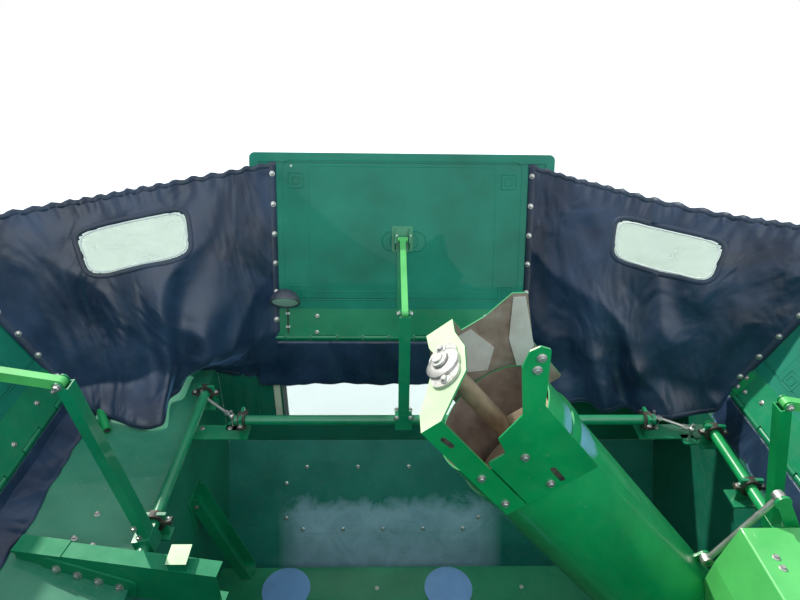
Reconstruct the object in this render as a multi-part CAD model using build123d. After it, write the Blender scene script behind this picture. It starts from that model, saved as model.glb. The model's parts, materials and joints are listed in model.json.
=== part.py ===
from build123d import *
import os
from math import atan2, cos, degrees, hypot, radians, sin, tan

# Combine harvester grain tank with four fold-in covers, fabric corners and a loading auger.
# Millimetres. +Y is forwards, +X is to the right seen from the rear, +Z is up.
# The origin is the centre of the bolt pattern in the base rails, on the underside of the rails.

# Driving sizes of the tank body
TANK_LEFT = -1310
TANK_RIGHT = 1310
END_HINGE_Y = 1000
HINGE_Z = 1600
WALL = 5
INNER_LEFT = -840
INNER_RIGHT = 1280
SHELF_Z = 1440
FOLD_Z = 984
FLOOR_Z = 300
SLOPE_ANGLE = 60
TROUGH_Y = 480
TROUGH_R = 110
RAIL_SPAN_X = 1500
RAIL_SPAN_Y = 1100
RAIL_H = 80
RAIL_W = 80
RAIL_T = 7
RAIL_END = 100
CROSS_RAIL_Y = 420
CROSS_RAIL_W = 50
POST_X_HALF = 30
POST_Y_HALF = 20
BASE_BOLT_R = 9
POST_SPREAD = 300
SEAT = 0.3

# Driving sizes of the rim and the cover hinges
RIM_W = 40
RIM_H = 40
LEAF_T = 4
BARREL_R = 11
PIN_R = 6
PIN_CLEAR = 0.1
KNUCKLE = 60
KNUCKLE_GAP = 6
HINGE_MARGIN = 20
WALL_TOP = HINGE_Z - BARREL_R - LEAF_T - 2
SHELF_TOP = WALL_TOP - RIM_H

# Driving sizes of the covers
COVER_T = 22
COVER_SET = 7
COVER_LOW = 30
COVER_H = 800
COVER_CORNER_R = 24
END_COVER_W = 1300
SIDE_COVER_W = 1300
END_LEAN = 20.7
SIDE_LEAN = 27.0
STRIP_H = 130
STRIP_T = 4
BORDER_INSET = 38
BORDER_W = 9
BORDER_DEPTH = 4

# Driving sizes of the shafts, cranks and links
SHAFT_Z = 1500
SHAFT_R = 20
BEARING_T = 12
PLATE_HALF = 40
PLATE_UP = 34
BRACKET_Z = SHAFT_Z - 60
BRACKET_T = 6
CRANK_T = 4
CRANK_BACK = 22
CRANK_LIP = 6
FOOT_W = 66
EAR_T = 6
EAR_HALF = 27
EAR_REACH = 14
LINK_W = 24
LINK_H = 30
TONGUE_HALF = 21
TONGUE_R = 12
PIVOT_R = 7
PIVOT_GAP = 5
END_SHAFT_Y = 565
LEFT_SHAFT_X = -815
RIGHT_SHAFT_X = 1205
REAR_CRANK_X = -350
RIGHT_RISE = (-140, 515)

# Driving sizes of the loading auger
AUGER_PIVOT = (1150, -100, 946)
AUGER_RISE = 50.5
TUBE_R = 162
TUBE_T = 4
TRUNNION_R = 12
SUMP_TOP = 600
TUBE_FROM = 150
TUBE_TO = 1500
SCREW_R = 140
SCREW_CORE_R = 25
SCREW_STUB_R = 14
SCREW_FOOT = 60
SCREW_PITCH = 260
FLIGHT_T = 4
ROD_R = 9
ROD_BALL_R = 17
ROD_EYE = 11
ROD_LUG = (871, 1576)
ROD_ARM = (1000, 1840)
ROD_Y = -130

# Open head of the auger: where the cheeks start, how they stand off, and the plate that holds the screw
HEAD_FROM = 1360
HEAD_BAND = 36
CHEEK_SET = 4
CHEEK_T = 5
BEARING_UP = 1695
BEARING_SHEET = 5
BEARING_HUB_R = 44
BEARING_HUB_T = 14
CHEEK_CORNER_R = 7
SCREW_SHOULDER = 25
SCREW_END = 25
REAR_CHEEK = [
    (-25, HEAD_FROM), (-25, 1530), (25, 1530), (35, 1576), (115, 1600), (183, 1709), (218, 1733), (241, 1729),
    (254, 1709), (TUBE_R + 4, 1590), (TUBE_R + 4, HEAD_FROM),
]
FRONT_CHEEK = [
    (-120, HEAD_FROM), (-112, 1590), (-60, 1665), (110, 1655), (205, 1668), (236, 1645), (TUBE_R + 4, 1510),
    (TUBE_R + 4, HEAD_FROM),
]
BEARING_PLATE = [
    (-85, -171), (-30, -171), (15, -107), (52, -58), (60, 30), (40, 110), (40, 171), (-45, 171), (-41, 111),
    (-27, 73), (-45, 0), (-61, -48), (-85, -110),
]

# Fittings on the tank body
ACCESS_W = 985
ACCESS_H = 350
ACCESS_LEFT = -572
ACCESS_DROP = 110
ACCESS_R = 60
ACCESS_T = 3

# Beams over the cross augers, with their round lids and legs
COVER_BEAM_W = 240
COVER_BEAM_Z = 550
LID_X = (-520, 224)
LID_PLATE = 270
LID_R = 110
LEG_X = (-700, -180, 340, 800)
LEG_W = 60
CROSS_STUB_R = 16
CROSS_CORE_R = 30
CROSS_SCREW_R = 98
CROSS_PITCH = 240
CROSS_END = 60

# Sample chute, brace and post
CHUTE_Y = 470
CHUTE_TOP = 1150
CHUTE_W = 90
CHUTE_D = 45
CHUTE_REACH = 150
CHUTE_DROP = 470
CHUTE_SHEET = 3
CHUTE_FOOT_R = 40
CHUTE_PLATE_W = 140
CHUTE_PLATE_DOWN = 110
CHUTE_PLATE_UP = 60
BRACE_START = (-1175, -62)
BRACE_END = (-556, -155)
BRACE_Z = 1400
BRACE_H = 150
BRACE_T = 6
BRACE_FLANGE = 52
BRACE_LAP = 150
SPLICE_AT = (225, 74)
SPLICE_SIZE = (290, 74)
SPLICE_R = 20
SPLICE_TILT = 14
RIB_X = (150, 330)
RIB_REACH = 26
STRUT_W = 40
STRUT_DROP = 250
POST_X = -671
POST_W = 52
POST_TOP = 1578
POST_CAP = (60, 68, 5)

# Rubber flaps, window and fabric corners
FLAP_TOP = HINGE_Z - BARREL_R - 8
FLAP_H = 230
FLAP_T = 3
GASKET_T = 5
WINDOW_X = -130
WINDOW_Z = 1270
WINDOW_W = 820
WINDOW_H = 300
WINDOW_R = 40
FABRIC_INSET_END = 112
FABRIC_INSET_SIDE = 40
FABRIC_HEM_END = 1400
FABRIC_HEM_SIDE = 1562
FABRIC_T = 4
FABRIC_DROP = 40

# Lamp on the front cover and the auger's drive box
LAMP_R = 55
LAMP_X = -495
LAMP_UP = 175
LAMP_OFF = 90
BOX_NEAR = -380
BOX_FAR = -167
BOX_TOP = 1761
BOX_CORNER_R = 8
BOX_OUTLINE = [(899, BOX_TOP), (866, 1615), (850, 1440), (960, 1350), (1125, 1560), (1125, BOX_TOP)]

# How far each flap stands off its hinge line, how high it hangs and how far it lies out on the shelf
FLAPS = {
    "front": (GASKET_T, FLAP_H, 0),
    "rear": (0, FLAP_H, 0),
    "left": (WALL + SEAT, FLAP_TOP - SHELF_TOP - 1, 120),
    "right": (WALL, FLAP_TOP - SHELF_Z - WALL - 1, 0),
}

# Each side's turn, hinge distance and lean, its cover's width, its shaft's distance and span along the hinge,
# where its crank sits and how far that reaches, and how far up and off the cover the link's pin is
SIDES = [
    ("front", 0, END_HINGE_Y, END_LEAN, END_COVER_W, END_SHAFT_Y, (-660, 1000), 0, None, 439, 60),
    ("rear", 180, END_HINGE_Y, END_LEAN, END_COVER_W, END_SHAFT_Y, (-1000, 660), REAR_CRANK_X, None, 439, 60),
    ("left", 90, -TANK_LEFT, SIDE_LEAN, SIDE_COVER_W, -LEFT_SHAFT_X, (-60, 760), 11, None, 600, 187),
    ("right", -90, TANK_RIGHT, SIDE_LEAN, SIDE_COVER_W, RIGHT_SHAFT_X, (-540, 160), -54, RIGHT_RISE, 350, 90),
]

# side, inner edge x, y from, y to, then each bearing plate: its shaft's axis, its place, the shaft's centre
BRACKETS = [
    ("left", -610, 525, 605, [("x", -630, END_SHAFT_Y)]),
    ("left", -775, 700, 770, [("y", 735, LEFT_SHAFT_X)]),
    ("left", -600, -610, -520, [("x", -630, -END_SHAFT_Y)]),
    ("left", -770, 60, 110, [("y", 85, LEFT_SHAFT_X)]),
    ("right", 940, 525, 605, [("x", 965, END_SHAFT_Y)]),
    ("right", 1165, 470, 520, [("y", 495, RIGHT_SHAFT_X)]),
    ("right", 930, -610, -520, [("x", 965, -END_SHAFT_Y)]),
    ("right", 1150, 180, 260, [("y", 220, RIGHT_SHAFT_X)]),
]


def place(turn, distance, lean=0.0):
    """Frame on a hinge line: X along the hinge, Y outwards, Z up the leaning cover."""
    return Rot(0, 0, turn) * Pos(0, distance, HINGE_Z) * Rot(-lean, 0, 0)


def bar(start, end, width, depth, normal=(0, 1, 0)):
    """Straight bar with a rectangular section; depth lies along the normal."""
    a, b = Vector(*start), Vector(*end)
    plane = Plane(origin=a, x_dir=Vector(*normal), z_dir=b - a)
    return extrude(plane * Rectangle(depth, width), (b - a).length)


def tube(start, end, outer, inner=0.0):
    """Round bar or tube from start to end."""
    a, b = Vector(*start), Vector(*end)
    plane = Plane(origin=a, z_dir=b - a)
    body = extrude(plane * Circle(outer), (b - a).length)
    if inner:
        body -= extrude(plane * Circle(inner), (b - a).length)
    return body


def slab(points, thickness, plane):
    """Flat plate: an outline in a plane, thickened along the plane's normal."""
    return extrude(plane * make_face(Polyline(*points, close=True)), thickness)


def side_box(low, high):
    """Box between two corners."""
    size = [h - l for l, h in zip(low, high)]
    centre = [(h + l) / 2 for l, h in zip(low, high)]
    return Pos(*centre) * Box(*size)


# Tank body

def front_profile(y_sign):
    """Corner points of an end wall and its slope in the YZ plane, inner side."""
    bottom_y = END_HINGE_Y - (FOLD_Z - FLOOR_Z) / tan(radians(SLOPE_ANGLE))
    return y_sign * END_HINGE_Y, y_sign * bottom_y


def end_wall(y_sign, window=False):
    """Upright end wall from the rim down to the fold, over the whole width."""
    outline = [
        (TANK_LEFT, WALL_TOP), (TANK_RIGHT - WALL, WALL_TOP), (TANK_RIGHT - WALL, SHELF_Z),
        (INNER_RIGHT, SHELF_Z - WALL), (INNER_RIGHT, FOLD_Z), (INNER_LEFT, FOLD_Z), (INNER_LEFT, SHELF_Z),
        (TANK_LEFT, SHELF_TOP),
    ]
    plane = Plane(origin=(0, y_sign * END_HINGE_Y, 0), x_dir=(1, 0, 0), z_dir=(0, y_sign, 0))
    points = [(x, -y_sign * z) for x, z in outline]
    wall = slab(points, WALL, plane)
    if window:
        hole = Pos(WINDOW_X, y_sign * (END_HINGE_Y + WALL / 2), WINDOW_Z) * Box(WINDOW_W, 4 * WALL, WINDOW_H)
        hole = fillet(hole.edges().filter_by(Axis.Y), WINDOW_R)
        wall -= hole
    return wall


def end_slope(y_sign):
    """Sloping end sheet from the fold down to the floor."""
    top_y, bottom_y = front_profile(y_sign)
    run = (FOLD_Z - FLOOR_Z) / sin(radians(SLOPE_ANGLE))
    away = (0, y_sign * sin(radians(SLOPE_ANGLE)), -cos(radians(SLOPE_ANGLE)))
    plane = Plane(origin=(0, top_y, FOLD_Z - SEAT), x_dir=(1, 0, 0), z_dir=away)
    left, right = INNER_LEFT + SEAT, INNER_RIGHT - SEAT
    points = [(left, 0), (right, 0), (right, y_sign * run), (left, y_sign * run)]
    return slab(points, WALL, plane)


def wall_outline(top):
    """Side wall's outline in the YZ plane: upright ends, sloping feet and a foot below the troughs."""
    upright = END_HINGE_Y - SEAT
    foot = abs(front_profile(1)[1]) + 2 * WALL
    low = FLOOR_Z - 2 * WALL - TROUGH_R - 10
    half = [(upright, top), (upright, FOLD_Z - 3), (foot, FLOOR_Z - WALL), (foot, low)]
    return half + [(-y, z) for y, z in reversed(half)]


def side_wall(x, top):
    """Side wall sheet with the bores for the cross augers' stubs."""
    wall = extrude(Plane.YZ.offset(x) * make_face(Polyline(*wall_outline(top), close=True)), WALL)
    z, bore = FLOOR_Z - WALL, CROSS_STUB_R + PIN_CLEAR
    for y in (-TROUGH_Y, TROUGH_Y):
        wall -= tube((x - WALL, y, z), (x + 2 * WALL, y, z), bore)
    return wall


def side_wall_left():
    """Left inner wall with the sloping shelf and the lip beside the rim."""
    length = 2 * END_HINGE_Y - 2 * SEAT
    edge = TANK_LEFT + SEAT
    shelf_points = [
        (INNER_LEFT, SHELF_Z), (INNER_LEFT - WALL, SHELF_Z - WALL), (edge, SHELF_TOP - WALL),
        (edge, WALL_TOP), (edge + WALL, WALL_TOP), (edge + WALL, SHELF_TOP),
    ]
    shelf = extrude(Plane.XZ.offset(-length / 2) * make_face(Polyline(*shelf_points, close=True)), length)
    return side_wall(INNER_LEFT - WALL, SHELF_Z) + shelf


def side_wall_right():
    """Right wall, stepped out to the rim at its top."""
    length = 2 * END_HINGE_Y - 2 * SEAT
    step = side_box((INNER_RIGHT, -length / 2, SHELF_Z - 1), (TANK_RIGHT, length / 2, SHELF_Z + WALL))
    upper = side_box((TANK_RIGHT - WALL, -length / 2, SHELF_Z), (TANK_RIGHT, length / 2, WALL_TOP))
    return side_wall(INNER_RIGHT, SHELF_Z) + step + upper


def rim():
    """Welded rim tube round the top of the tank, outside the walls."""
    z_top = HINGE_Z - BARREL_R - LEAF_T
    inner = side_box((TANK_LEFT, -END_HINGE_Y - WALL - SEAT, z_top - 2 * RIM_H),
                     (TANK_RIGHT + SEAT, END_HINGE_Y + WALL + SEAT, z_top + 10))
    outer = side_box((TANK_LEFT - RIM_W, -END_HINGE_Y - WALL - RIM_W, z_top - RIM_H),
                     (TANK_RIGHT + RIM_W, END_HINGE_Y + WALL + RIM_W, z_top))
    return outer - inner


def trough_floor():
    """Flat floor with two half-round troughs for the cross augers."""
    half_y = abs(front_profile(1)[1]) - SEAT
    left, right = INNER_LEFT + SEAT, INNER_RIGHT - SEAT
    floor = side_box((left, -half_y, FLOOR_Z - WALL), (right, half_y, FLOOR_Z - SEAT))
    for y in (-TROUGH_Y, TROUGH_Y):
        low, high = (left - 1, y - TROUGH_R, FLOOR_Z - 2 * WALL), (right + 1, y + TROUGH_R, FLOOR_Z + 1)
        floor -= side_box(low, high)
        shell = tube((left, y, FLOOR_Z - WALL), (right, y, FLOOR_Z - WALL), TROUGH_R + WALL, TROUGH_R)
        half = side_box((left, y - 2 * TROUGH_R, FLOOR_Z - WALL - 2 * TROUGH_R),
                        (right, y + 2 * TROUGH_R, FLOOR_Z - WALL))
        floor += shell & half
    return floor


def base_rails():
    """Ladder frame under the tank with the four bolt holes and the posts to the floor."""
    frame = None
    for x in (-RAIL_SPAN_X / 2, RAIL_SPAN_X / 2):
        half_x, half_y = RAIL_W / 2, RAIL_SPAN_Y / 2 + RAIL_END
        rail = side_box((x - half_x, -half_y, 0), (x + half_x, half_y, RAIL_H))
        rail -= side_box((x - half_x + RAIL_T, -half_y - 1, RAIL_T),
                         (x + half_x + 1, half_y + 1, RAIL_H - RAIL_T))
        frame = rail if frame is None else frame + rail
        for y in (-RAIL_SPAN_Y / 2, RAIL_SPAN_Y / 2):
            frame -= tube((x, y, -1), (x, y, RAIL_T + 1), BASE_BOLT_R)
        for y in (-POST_SPREAD, 0, POST_SPREAD):
            frame += side_box((x - POST_X_HALF, y - POST_Y_HALF, RAIL_H - 1),
                              (x + POST_X_HALF, y + POST_Y_HALF, FLOOR_Z - WALL - SEAT))
    left, right = -(RAIL_SPAN_X + RAIL_W) / 2 + RAIL_T / 2, (RAIL_SPAN_X - RAIL_W) / 2 + 1
    for y in (-CROSS_RAIL_Y, CROSS_RAIL_Y):
        frame += side_box((left, y - CROSS_RAIL_W / 2, RAIL_T + 2),
                          (right, y + CROSS_RAIL_W / 2, RAIL_H - RAIL_T - 10))
    return frame


# Covers

def cover_panel(width, lean, turn, distance):
    """Moulded cover with rounded top corners and a pressed border."""
    body = Box(width, COVER_T, COVER_H - COVER_LOW)
    body = Pos(0, COVER_T / 2 - COVER_SET, (COVER_H + COVER_LOW) / 2) * body
    corners = body.edges().filter_by(Axis.Y).group_by(Axis.Z)[-1]
    body = fillet(corners, COVER_CORNER_R)
    centre = Pos(0, -COVER_SET, (COVER_H + STRIP_H) / 2)
    wide, high = width - 2 * BORDER_INSET, COVER_H - STRIP_H - 2 * BORDER_INSET
    groove = centre * Box(wide, 2 * BORDER_DEPTH, high)
    groove -= centre * Box(wide - 2 * BORDER_W, 3 * BORDER_DEPTH, high - 2 * BORDER_W)
    return place(turn, distance, lean) * (body - groove)


def hinge_spans(width, moving):
    """Knuckle spans along the hinge; the moving ones alternate with the fixed ones."""
    count = int((width - 2 * HINGE_MARGIN) / (4 * KNUCKLE)) * 2 + 1
    pitch = (width - 2 * HINGE_MARGIN) / count
    spans = []
    for i in range(count):
        if (i % 2 == 1) == moving:
            start = -width / 2 + HINGE_MARGIN + i * pitch
            spans.append((start + KNUCKLE_GAP / 2, start + pitch - KNUCKLE_GAP / 2))
    return spans


def cover_strip(width, lean, turn, distance, crank_x, pin_up, pin_off):
    """Steel strip along the foot of a cover with its knuckles, and the ears for the link."""
    face = -COVER_SET - SEAT
    strip = side_box((-width / 2 + 15, face - STRIP_T, 12), (width / 2 - 15, face, STRIP_H))
    for a, b in hinge_spans(width, True):
        strip += tube((a, 0, 0), (b, 0, 0), BARREL_R)
        strip += side_box((a, face - STRIP_T, 4), (b, face, 16))
    strip -= tube((-width, 0, 0), (width, 0, 0), PIN_R + PIN_CLEAR)
    strip += side_box((crank_x - 45, face - 6, pin_up - 55), (crank_x + 45, face, pin_up + 55))
    strip += side_box((crank_x - 22, face - STRIP_T, STRIP_H - 10), (crank_x + 22, face, pin_up))
    for side in (-1, 1):
        a, b = sorted((crank_x + side * EAR_HALF, crank_x + side * (EAR_HALF + EAR_T)))
        outline = [(face - 5, pin_up - 50), (face - 5, pin_up + 50), (-pin_off + 8, pin_up + EAR_REACH),
                   (-pin_off - EAR_REACH, pin_up + EAR_REACH), (-pin_off - EAR_REACH, pin_up - EAR_REACH),
                   (-pin_off + 8, pin_up - EAR_REACH)]
        strip += extrude(Plane.YZ.offset(a) * make_face(Polyline(*outline, close=True)), b - a)
    return place(turn, distance, lean) * strip


def hinge_leaf(width, turn, distance):
    """Fixed leaf on the rim with its knuckles and the hinge pin."""
    leaf = side_box((-width / 2, -2, -BARREL_R - LEAF_T), (width / 2, WALL + RIM_W - 4, -BARREL_R))
    for a, b in hinge_spans(width, False):
        leaf += tube((a, 0, 0), (b, 0, 0), BARREL_R)
        leaf += side_box((a, 2, -BARREL_R), (b, BARREL_R, -2))
    leaf += tube((-width / 2 + HINGE_MARGIN, 0, 0), (width / 2 - HINGE_MARGIN, 0, 0), PIN_R)
    return place(turn, distance) * leaf


# Shafts, cranks and links, each in a frame with X along its shaft and Y outwards

def crank(rise, at_x):
    """Channel crank, open outwards so that the link can fold into it, with its foot and pin."""
    out, up = rise
    reach = hypot(out, up)
    inner = LINK_W / 2 + PIVOT_GAP
    outer = inner + CRANK_T
    body = side_box((-outer, -CRANK_BACK - CRANK_T, 0), (outer, CRANK_LIP, reach - 8))
    body -= side_box((-inner, -CRANK_BACK, 40), (inner, CRANK_LIP + 1, reach))
    for side in (-1, 1):
        a, b = sorted((side * inner, side * outer))
        body += tube((a, 0, reach), (b, 0, reach), EAR_REACH)
        body += side_box((a, -EAR_REACH, reach - 40), (b, CRANK_LIP, reach))
    body += tube((-outer, 0, reach), (outer, 0, reach), PIVOT_R)
    body += side_box((-FOOT_W / 2, -SHAFT_R - 8, -SHAFT_R - 8), (FOOT_W / 2, SHAFT_R + 8, SHAFT_R + 14))
    return Pos(at_x, 0, 0) * Rot(-degrees(atan2(out, up)), 0, 0) * body


def shaft(turn, distance, span, rise, crank_x, with_arm):
    """Turning shaft with its crank, and on the right the arm that pulls the auger's rod."""
    body = tube((span[0], 0, 0), (span[1], 0, 0), SHAFT_R)
    body += crank(rise, crank_x)
    if with_arm:
        x = -ROD_Y + ROD_EYE + 5
        out, up = ROD_ARM[0] - RIGHT_SHAFT_X, ROD_ARM[1] - SHAFT_Z
        length = hypot(out, up)
        arm = side_box((x, -18, 0), (x + 8, 18, length))
        arm += tube((x, 0, length), (x + 8, 0, length), 22)
        body += Rot(-degrees(atan2(out, up)), 0, 0) * arm
    return Rot(0, 0, turn) * Pos(0, distance, SHAFT_Z) * body


def link(turn, distance, rise, pin, crank_x):
    """Link from the crank's pin to its tongue between the cover's ears; open at the cover."""
    out, up = rise
    end_out, end_up = pin
    a, b = Vector(crank_x, out, up), Vector(crank_x, end_out, end_up)
    half = LINK_W / 2
    body = bar(tuple(a), tuple(b), LINK_H, LINK_W, (1, 0, 0))
    body += tube((crank_x - half, a.Y, a.Z), (crank_x + half, a.Y, a.Z), LINK_H / 2)
    body += tube((crank_x - TONGUE_HALF, b.Y, b.Z), (crank_x + TONGUE_HALF, b.Y, b.Z), TONGUE_R)
    body -= tube((crank_x - LINK_W, a.Y, a.Z), (crank_x + LINK_W, a.Y, a.Z), PIVOT_R + PIN_CLEAR)
    return Rot(0, 0, turn) * Pos(0, distance, SHAFT_Z) * body


# Loading auger, modelled upright along +Z from its pivot and then tipped over

def auger_place():
    return Pos(*AUGER_PIVOT) * Rot(0, AUGER_RISE - 90, 0)


def auger_tube():
    """Tube with its hinge ears at the foot."""
    body = tube((0, 0, TUBE_FROM), (0, 0, TUBE_TO), TUBE_R, TUBE_R - TUBE_T)
    for y in (-1, 1):
        a, b = sorted((y * (TUBE_R - 1), y * (TUBE_R + 11)))
        ear = side_box((-30, a, -30), (30, b, TUBE_FROM + 120))
        ear -= tube((0, a - 1, 0), (0, b + 1, 0), TRUNNION_R + PIN_CLEAR)
        body += ear
    return auger_place() * body + rod_lug()


def cheek(outline, y_sign):
    """One side sheet of the auger's head, with its corners rounded off."""
    at = y_sign * (TUBE_R + CHEEK_SET)
    plane = Plane(origin=(0, at, 0), x_dir=(1, 0, 0), z_dir=(0, y_sign, 0))
    face = make_face(Polyline(*[(x, -y_sign * z) for x, z in outline], close=True))
    return extrude(plane * fillet(face.vertices(), CHEEK_CORNER_R), CHEEK_T)


def auger_mouth():
    """Open head of the auger: two cheeks on a band round the tube, and the plate that holds the screw."""
    outer = TUBE_R + CHEEK_SET + CHEEK_T
    head = tube((0, 0, HEAD_FROM), (0, 0, HEAD_FROM + HEAD_BAND), TUBE_R + CHEEK_SET + 2, TUBE_R + SEAT)
    head += cheek(REAR_CHEEK, -1)
    head += cheek(FRONT_CHEEK, 1)
    straps = side_box((-85, -outer, HEAD_FROM), (-30, -outer + CHEEK_T, BEARING_UP + BEARING_SHEET))
    straps += side_box((-45, outer - CHEEK_T, HEAD_FROM), (40, outer, BEARING_UP + BEARING_SHEET))
    face = make_face(Polyline(*BEARING_PLATE, close=True))
    plate = extrude(Plane.XY.offset(BEARING_UP) * face, BEARING_SHEET)
    hub_top = BEARING_UP + BEARING_SHEET + BEARING_HUB_T
    plate += tube((0, 0, BEARING_UP), (0, 0, hub_top), BEARING_HUB_R)
    plate -= tube((0, 0, BEARING_UP - 1), (0, 0, hub_top + 1), SCREW_STUB_R + PIN_CLEAR)
    return auger_place() * (head + straps + plate)


def flight(inner, outer, pitch, length):
    """Helical blade: a flat section carried along a helix at its middle radius, up from the origin."""
    path = Edge.make_helix(pitch, length, (inner + outer) / 2)
    section = Plane(origin=path @ 0, x_dir=(1, 0, 0), z_dir=path % 0) * Rectangle(outer - inner, FLIGHT_T)
    return sweep(section, path=path, is_frenet=True)


def auger_screw():
    """Loading screw: a core tube with a helical flight, and the stub in the head's bearing."""
    shoulder, top = BEARING_UP - SCREW_SHOULDER, BEARING_UP + BEARING_SHEET + BEARING_HUB_T
    body = tube((0, 0, SCREW_FOOT), (0, 0, shoulder), SCREW_CORE_R)
    body += tube((0, 0, shoulder - 1), (0, 0, top), SCREW_STUB_R)
    length = TUBE_TO - TUBE_FROM - 2 * SCREW_END
    body += Pos(0, 0, TUBE_FROM + SCREW_END) * flight(SCREW_CORE_R - 1, SCREW_R, SCREW_PITCH, length)
    return auger_place() * body


def auger_foot():
    """Cheeks on the right wall with the trunnions that the auger turns on, over a grain sump."""
    x, y, z = AUGER_PIVOT
    half = TUBE_R + 35
    right = INNER_RIGHT - SEAT
    foot = side_box((x - half, y - half, FLOOR_Z), (right, y + half, SUMP_TOP))
    foot -= side_box((x - half + WALL, y - half + WALL, FLOOR_Z - 1),
                     (right - WALL, y + half - WALL, SUMP_TOP + 1))
    foot -= side_box((x - half - 1, y - half + 60, FLOOR_Z - 1), (right - WALL, y + half - 60, SUMP_TOP - 80))
    for side in (-1, 1):
        a, b = sorted((side * half, side * (half - WALL)))
        low = SUMP_TOP - 10
        outline = [(x - 90, low), (right, low), (right, z + 90), (x - 30, z + 60), (x - 60, z)]
        cheek = extrude(Plane.XZ.offset(-(y + b)) * make_face(Polyline(*outline, close=True)), b - a)
        foot += cheek
        a, b = sorted((side * (TUBE_R + 0.5), side * half))
        foot += tube((x, y + a, z), (x, y + b, z), TRUNNION_R)
    return foot


def rod():
    """Lift rod from the lug on the auger tube; its upper eye is open beside the arm."""
    a = (ROD_LUG[0], ROD_Y, ROD_LUG[1])
    b = (ROD_ARM[0], ROD_Y, ROD_ARM[1])
    way = (Vector(*b) - Vector(*a)).normalized() * (ROD_BALL_R - 4)
    body = tube(tuple(Vector(*a) + way), tuple(Vector(*b) - way), ROD_R)
    for x, y, z in (a, b):
        body += tube((x, y - ROD_EYE, z), (x, y + ROD_EYE, z), ROD_BALL_R)
        body -= tube((x, y - 20, z), (x, y + 20, z), PIVOT_R + PIN_CLEAR)
    return body


def rod_lug():
    """Lug with the rod's pin on the auger tube."""
    x, z = ROD_LUG
    lug = tube((x, ROD_Y + ROD_EYE + 1, z), (x, ROD_Y + ROD_EYE + 9, z), 18)
    top = Vector(x, ROD_Y + ROD_EYE + 5, z)
    down = Vector(-sin(radians(AUGER_RISE)), 0, -cos(radians(AUGER_RISE)))
    lug += bar(tuple(top), tuple(top + down * 60), 36, 8)
    lug += tube((x, ROD_Y - ROD_EYE - 2, z), (x, ROD_Y + ROD_EYE + 4, z), PIVOT_R)
    inside = auger_place() * Cylinder(TUBE_R - 1, 2 * TUBE_TO)
    return lug - inside


# Fittings on the tank body

def access_cover():
    """Bolted cover plate on the front slope."""
    width, height, left, drop = ACCESS_W, ACCESS_H, ACCESS_LEFT, ACCESS_DROP
    angle = radians(SLOPE_ANGLE)
    plane = Plane(origin=(0, END_HINGE_Y, FOLD_Z), x_dir=(1, 0, 0), z_dir=(0, -sin(angle), cos(angle)))
    centre = Pos(left + width / 2, -drop - height / 2, SEAT)
    return extrude(plane * centre * RectangleRounded(width, height, ACCESS_R), ACCESS_T)


def auger_cover(y_sign):
    """Hat-shaped beam over a cross auger, on legs beside the trough, with two round lids."""
    y, half = y_sign * TROUGH_Y, COVER_BEAM_W / 2
    left, right = INNER_LEFT + SEAT, INNER_RIGHT - SEAT
    beam = side_box((left, y - half, COVER_BEAM_Z - 70), (right, y + half, COVER_BEAM_Z))
    beam -= side_box((left - 1, y - half + 4, COVER_BEAM_Z - 71), (right + 1, y + half - 4, COVER_BEAM_Z - 4))
    for x in LID_X:
        beam += Pos(x, y, COVER_BEAM_Z + 1.5) * Box(LID_PLATE, COVER_BEAM_W - 12, 3)
        beam += tube((x, y, COVER_BEAM_Z + 2), (x, y, COVER_BEAM_Z + 12), LID_R)
    for x in LEG_X:
        beam += side_box((x, y - half, FLOOR_Z), (x + LEG_W, y - half + 4, COVER_BEAM_Z - 60))
        beam += side_box((x, y + half - 4, FLOOR_Z), (x + LEG_W, y + half, COVER_BEAM_Z - 60))
    return beam


def cross_auger(y_sign):
    """Screw that moves grain along a trough, with a helical flight on its core."""
    y = y_sign * TROUGH_Y
    z = FLOOR_Z - WALL
    body = tube((INNER_LEFT - 30, y, z), (INNER_RIGHT + 30, y, z), CROSS_STUB_R)
    body += tube((INNER_LEFT + 12, y, z), (INNER_RIGHT - 12, y, z), CROSS_CORE_R)
    blade = flight(CROSS_CORE_R - 1, CROSS_SCREW_R, CROSS_PITCH, INNER_RIGHT - INNER_LEFT - 2 * CROSS_END)
    return body + Pos(INNER_LEFT + CROSS_END, y, z) * Rot(0, 90, 0) * blade


def sample_chute():
    """Open channel with a rounded foot that drops a grain sample, on a plate bolted to the left wall."""
    slope = degrees(atan2(CHUTE_DROP, CHUTE_REACH))
    length = hypot(CHUTE_DROP, CHUTE_REACH)
    whole, sheet = length + 2 * CHUTE_W, CHUTE_SHEET
    outline = RectangleRounded(whole, CHUTE_W, CHUTE_FOOT_R)
    inner = RectangleRounded(whole - 2 * sheet, CHUTE_W - 2 * sheet, CHUTE_FOOT_R - sheet)
    channel = extrude(outline, CHUTE_D) - Pos(0, 0, sheet) * extrude(inner, CHUTE_D)
    channel = Pos(length / 2 - CHUTE_W, 0, 0) * channel
    channel = Pos(INNER_LEFT + 2, CHUTE_Y, CHUTE_TOP) * Rot(0, slope, 0) * channel
    top = CHUTE_TOP + CHUTE_PLATE_UP
    channel = channel & side_box((INNER_LEFT + SEAT, 0, 0), (INNER_RIGHT, END_HINGE_Y, top))
    half = CHUTE_PLATE_W / 2
    plate = side_box((INNER_LEFT + SEAT, CHUTE_Y - half, CHUTE_TOP - CHUTE_PLATE_DOWN),
                     (INNER_LEFT + WALL, CHUTE_Y + half, top))
    return channel + plate


def shelf_height(x):
    """Height of the left shelf's upper side at x."""
    share = (INNER_LEFT - x) / (INNER_LEFT - TANK_LEFT - SEAT - WALL)
    return SHELF_Z + max(0.0, share) * (SHELF_TOP - SHELF_Z)


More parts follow.
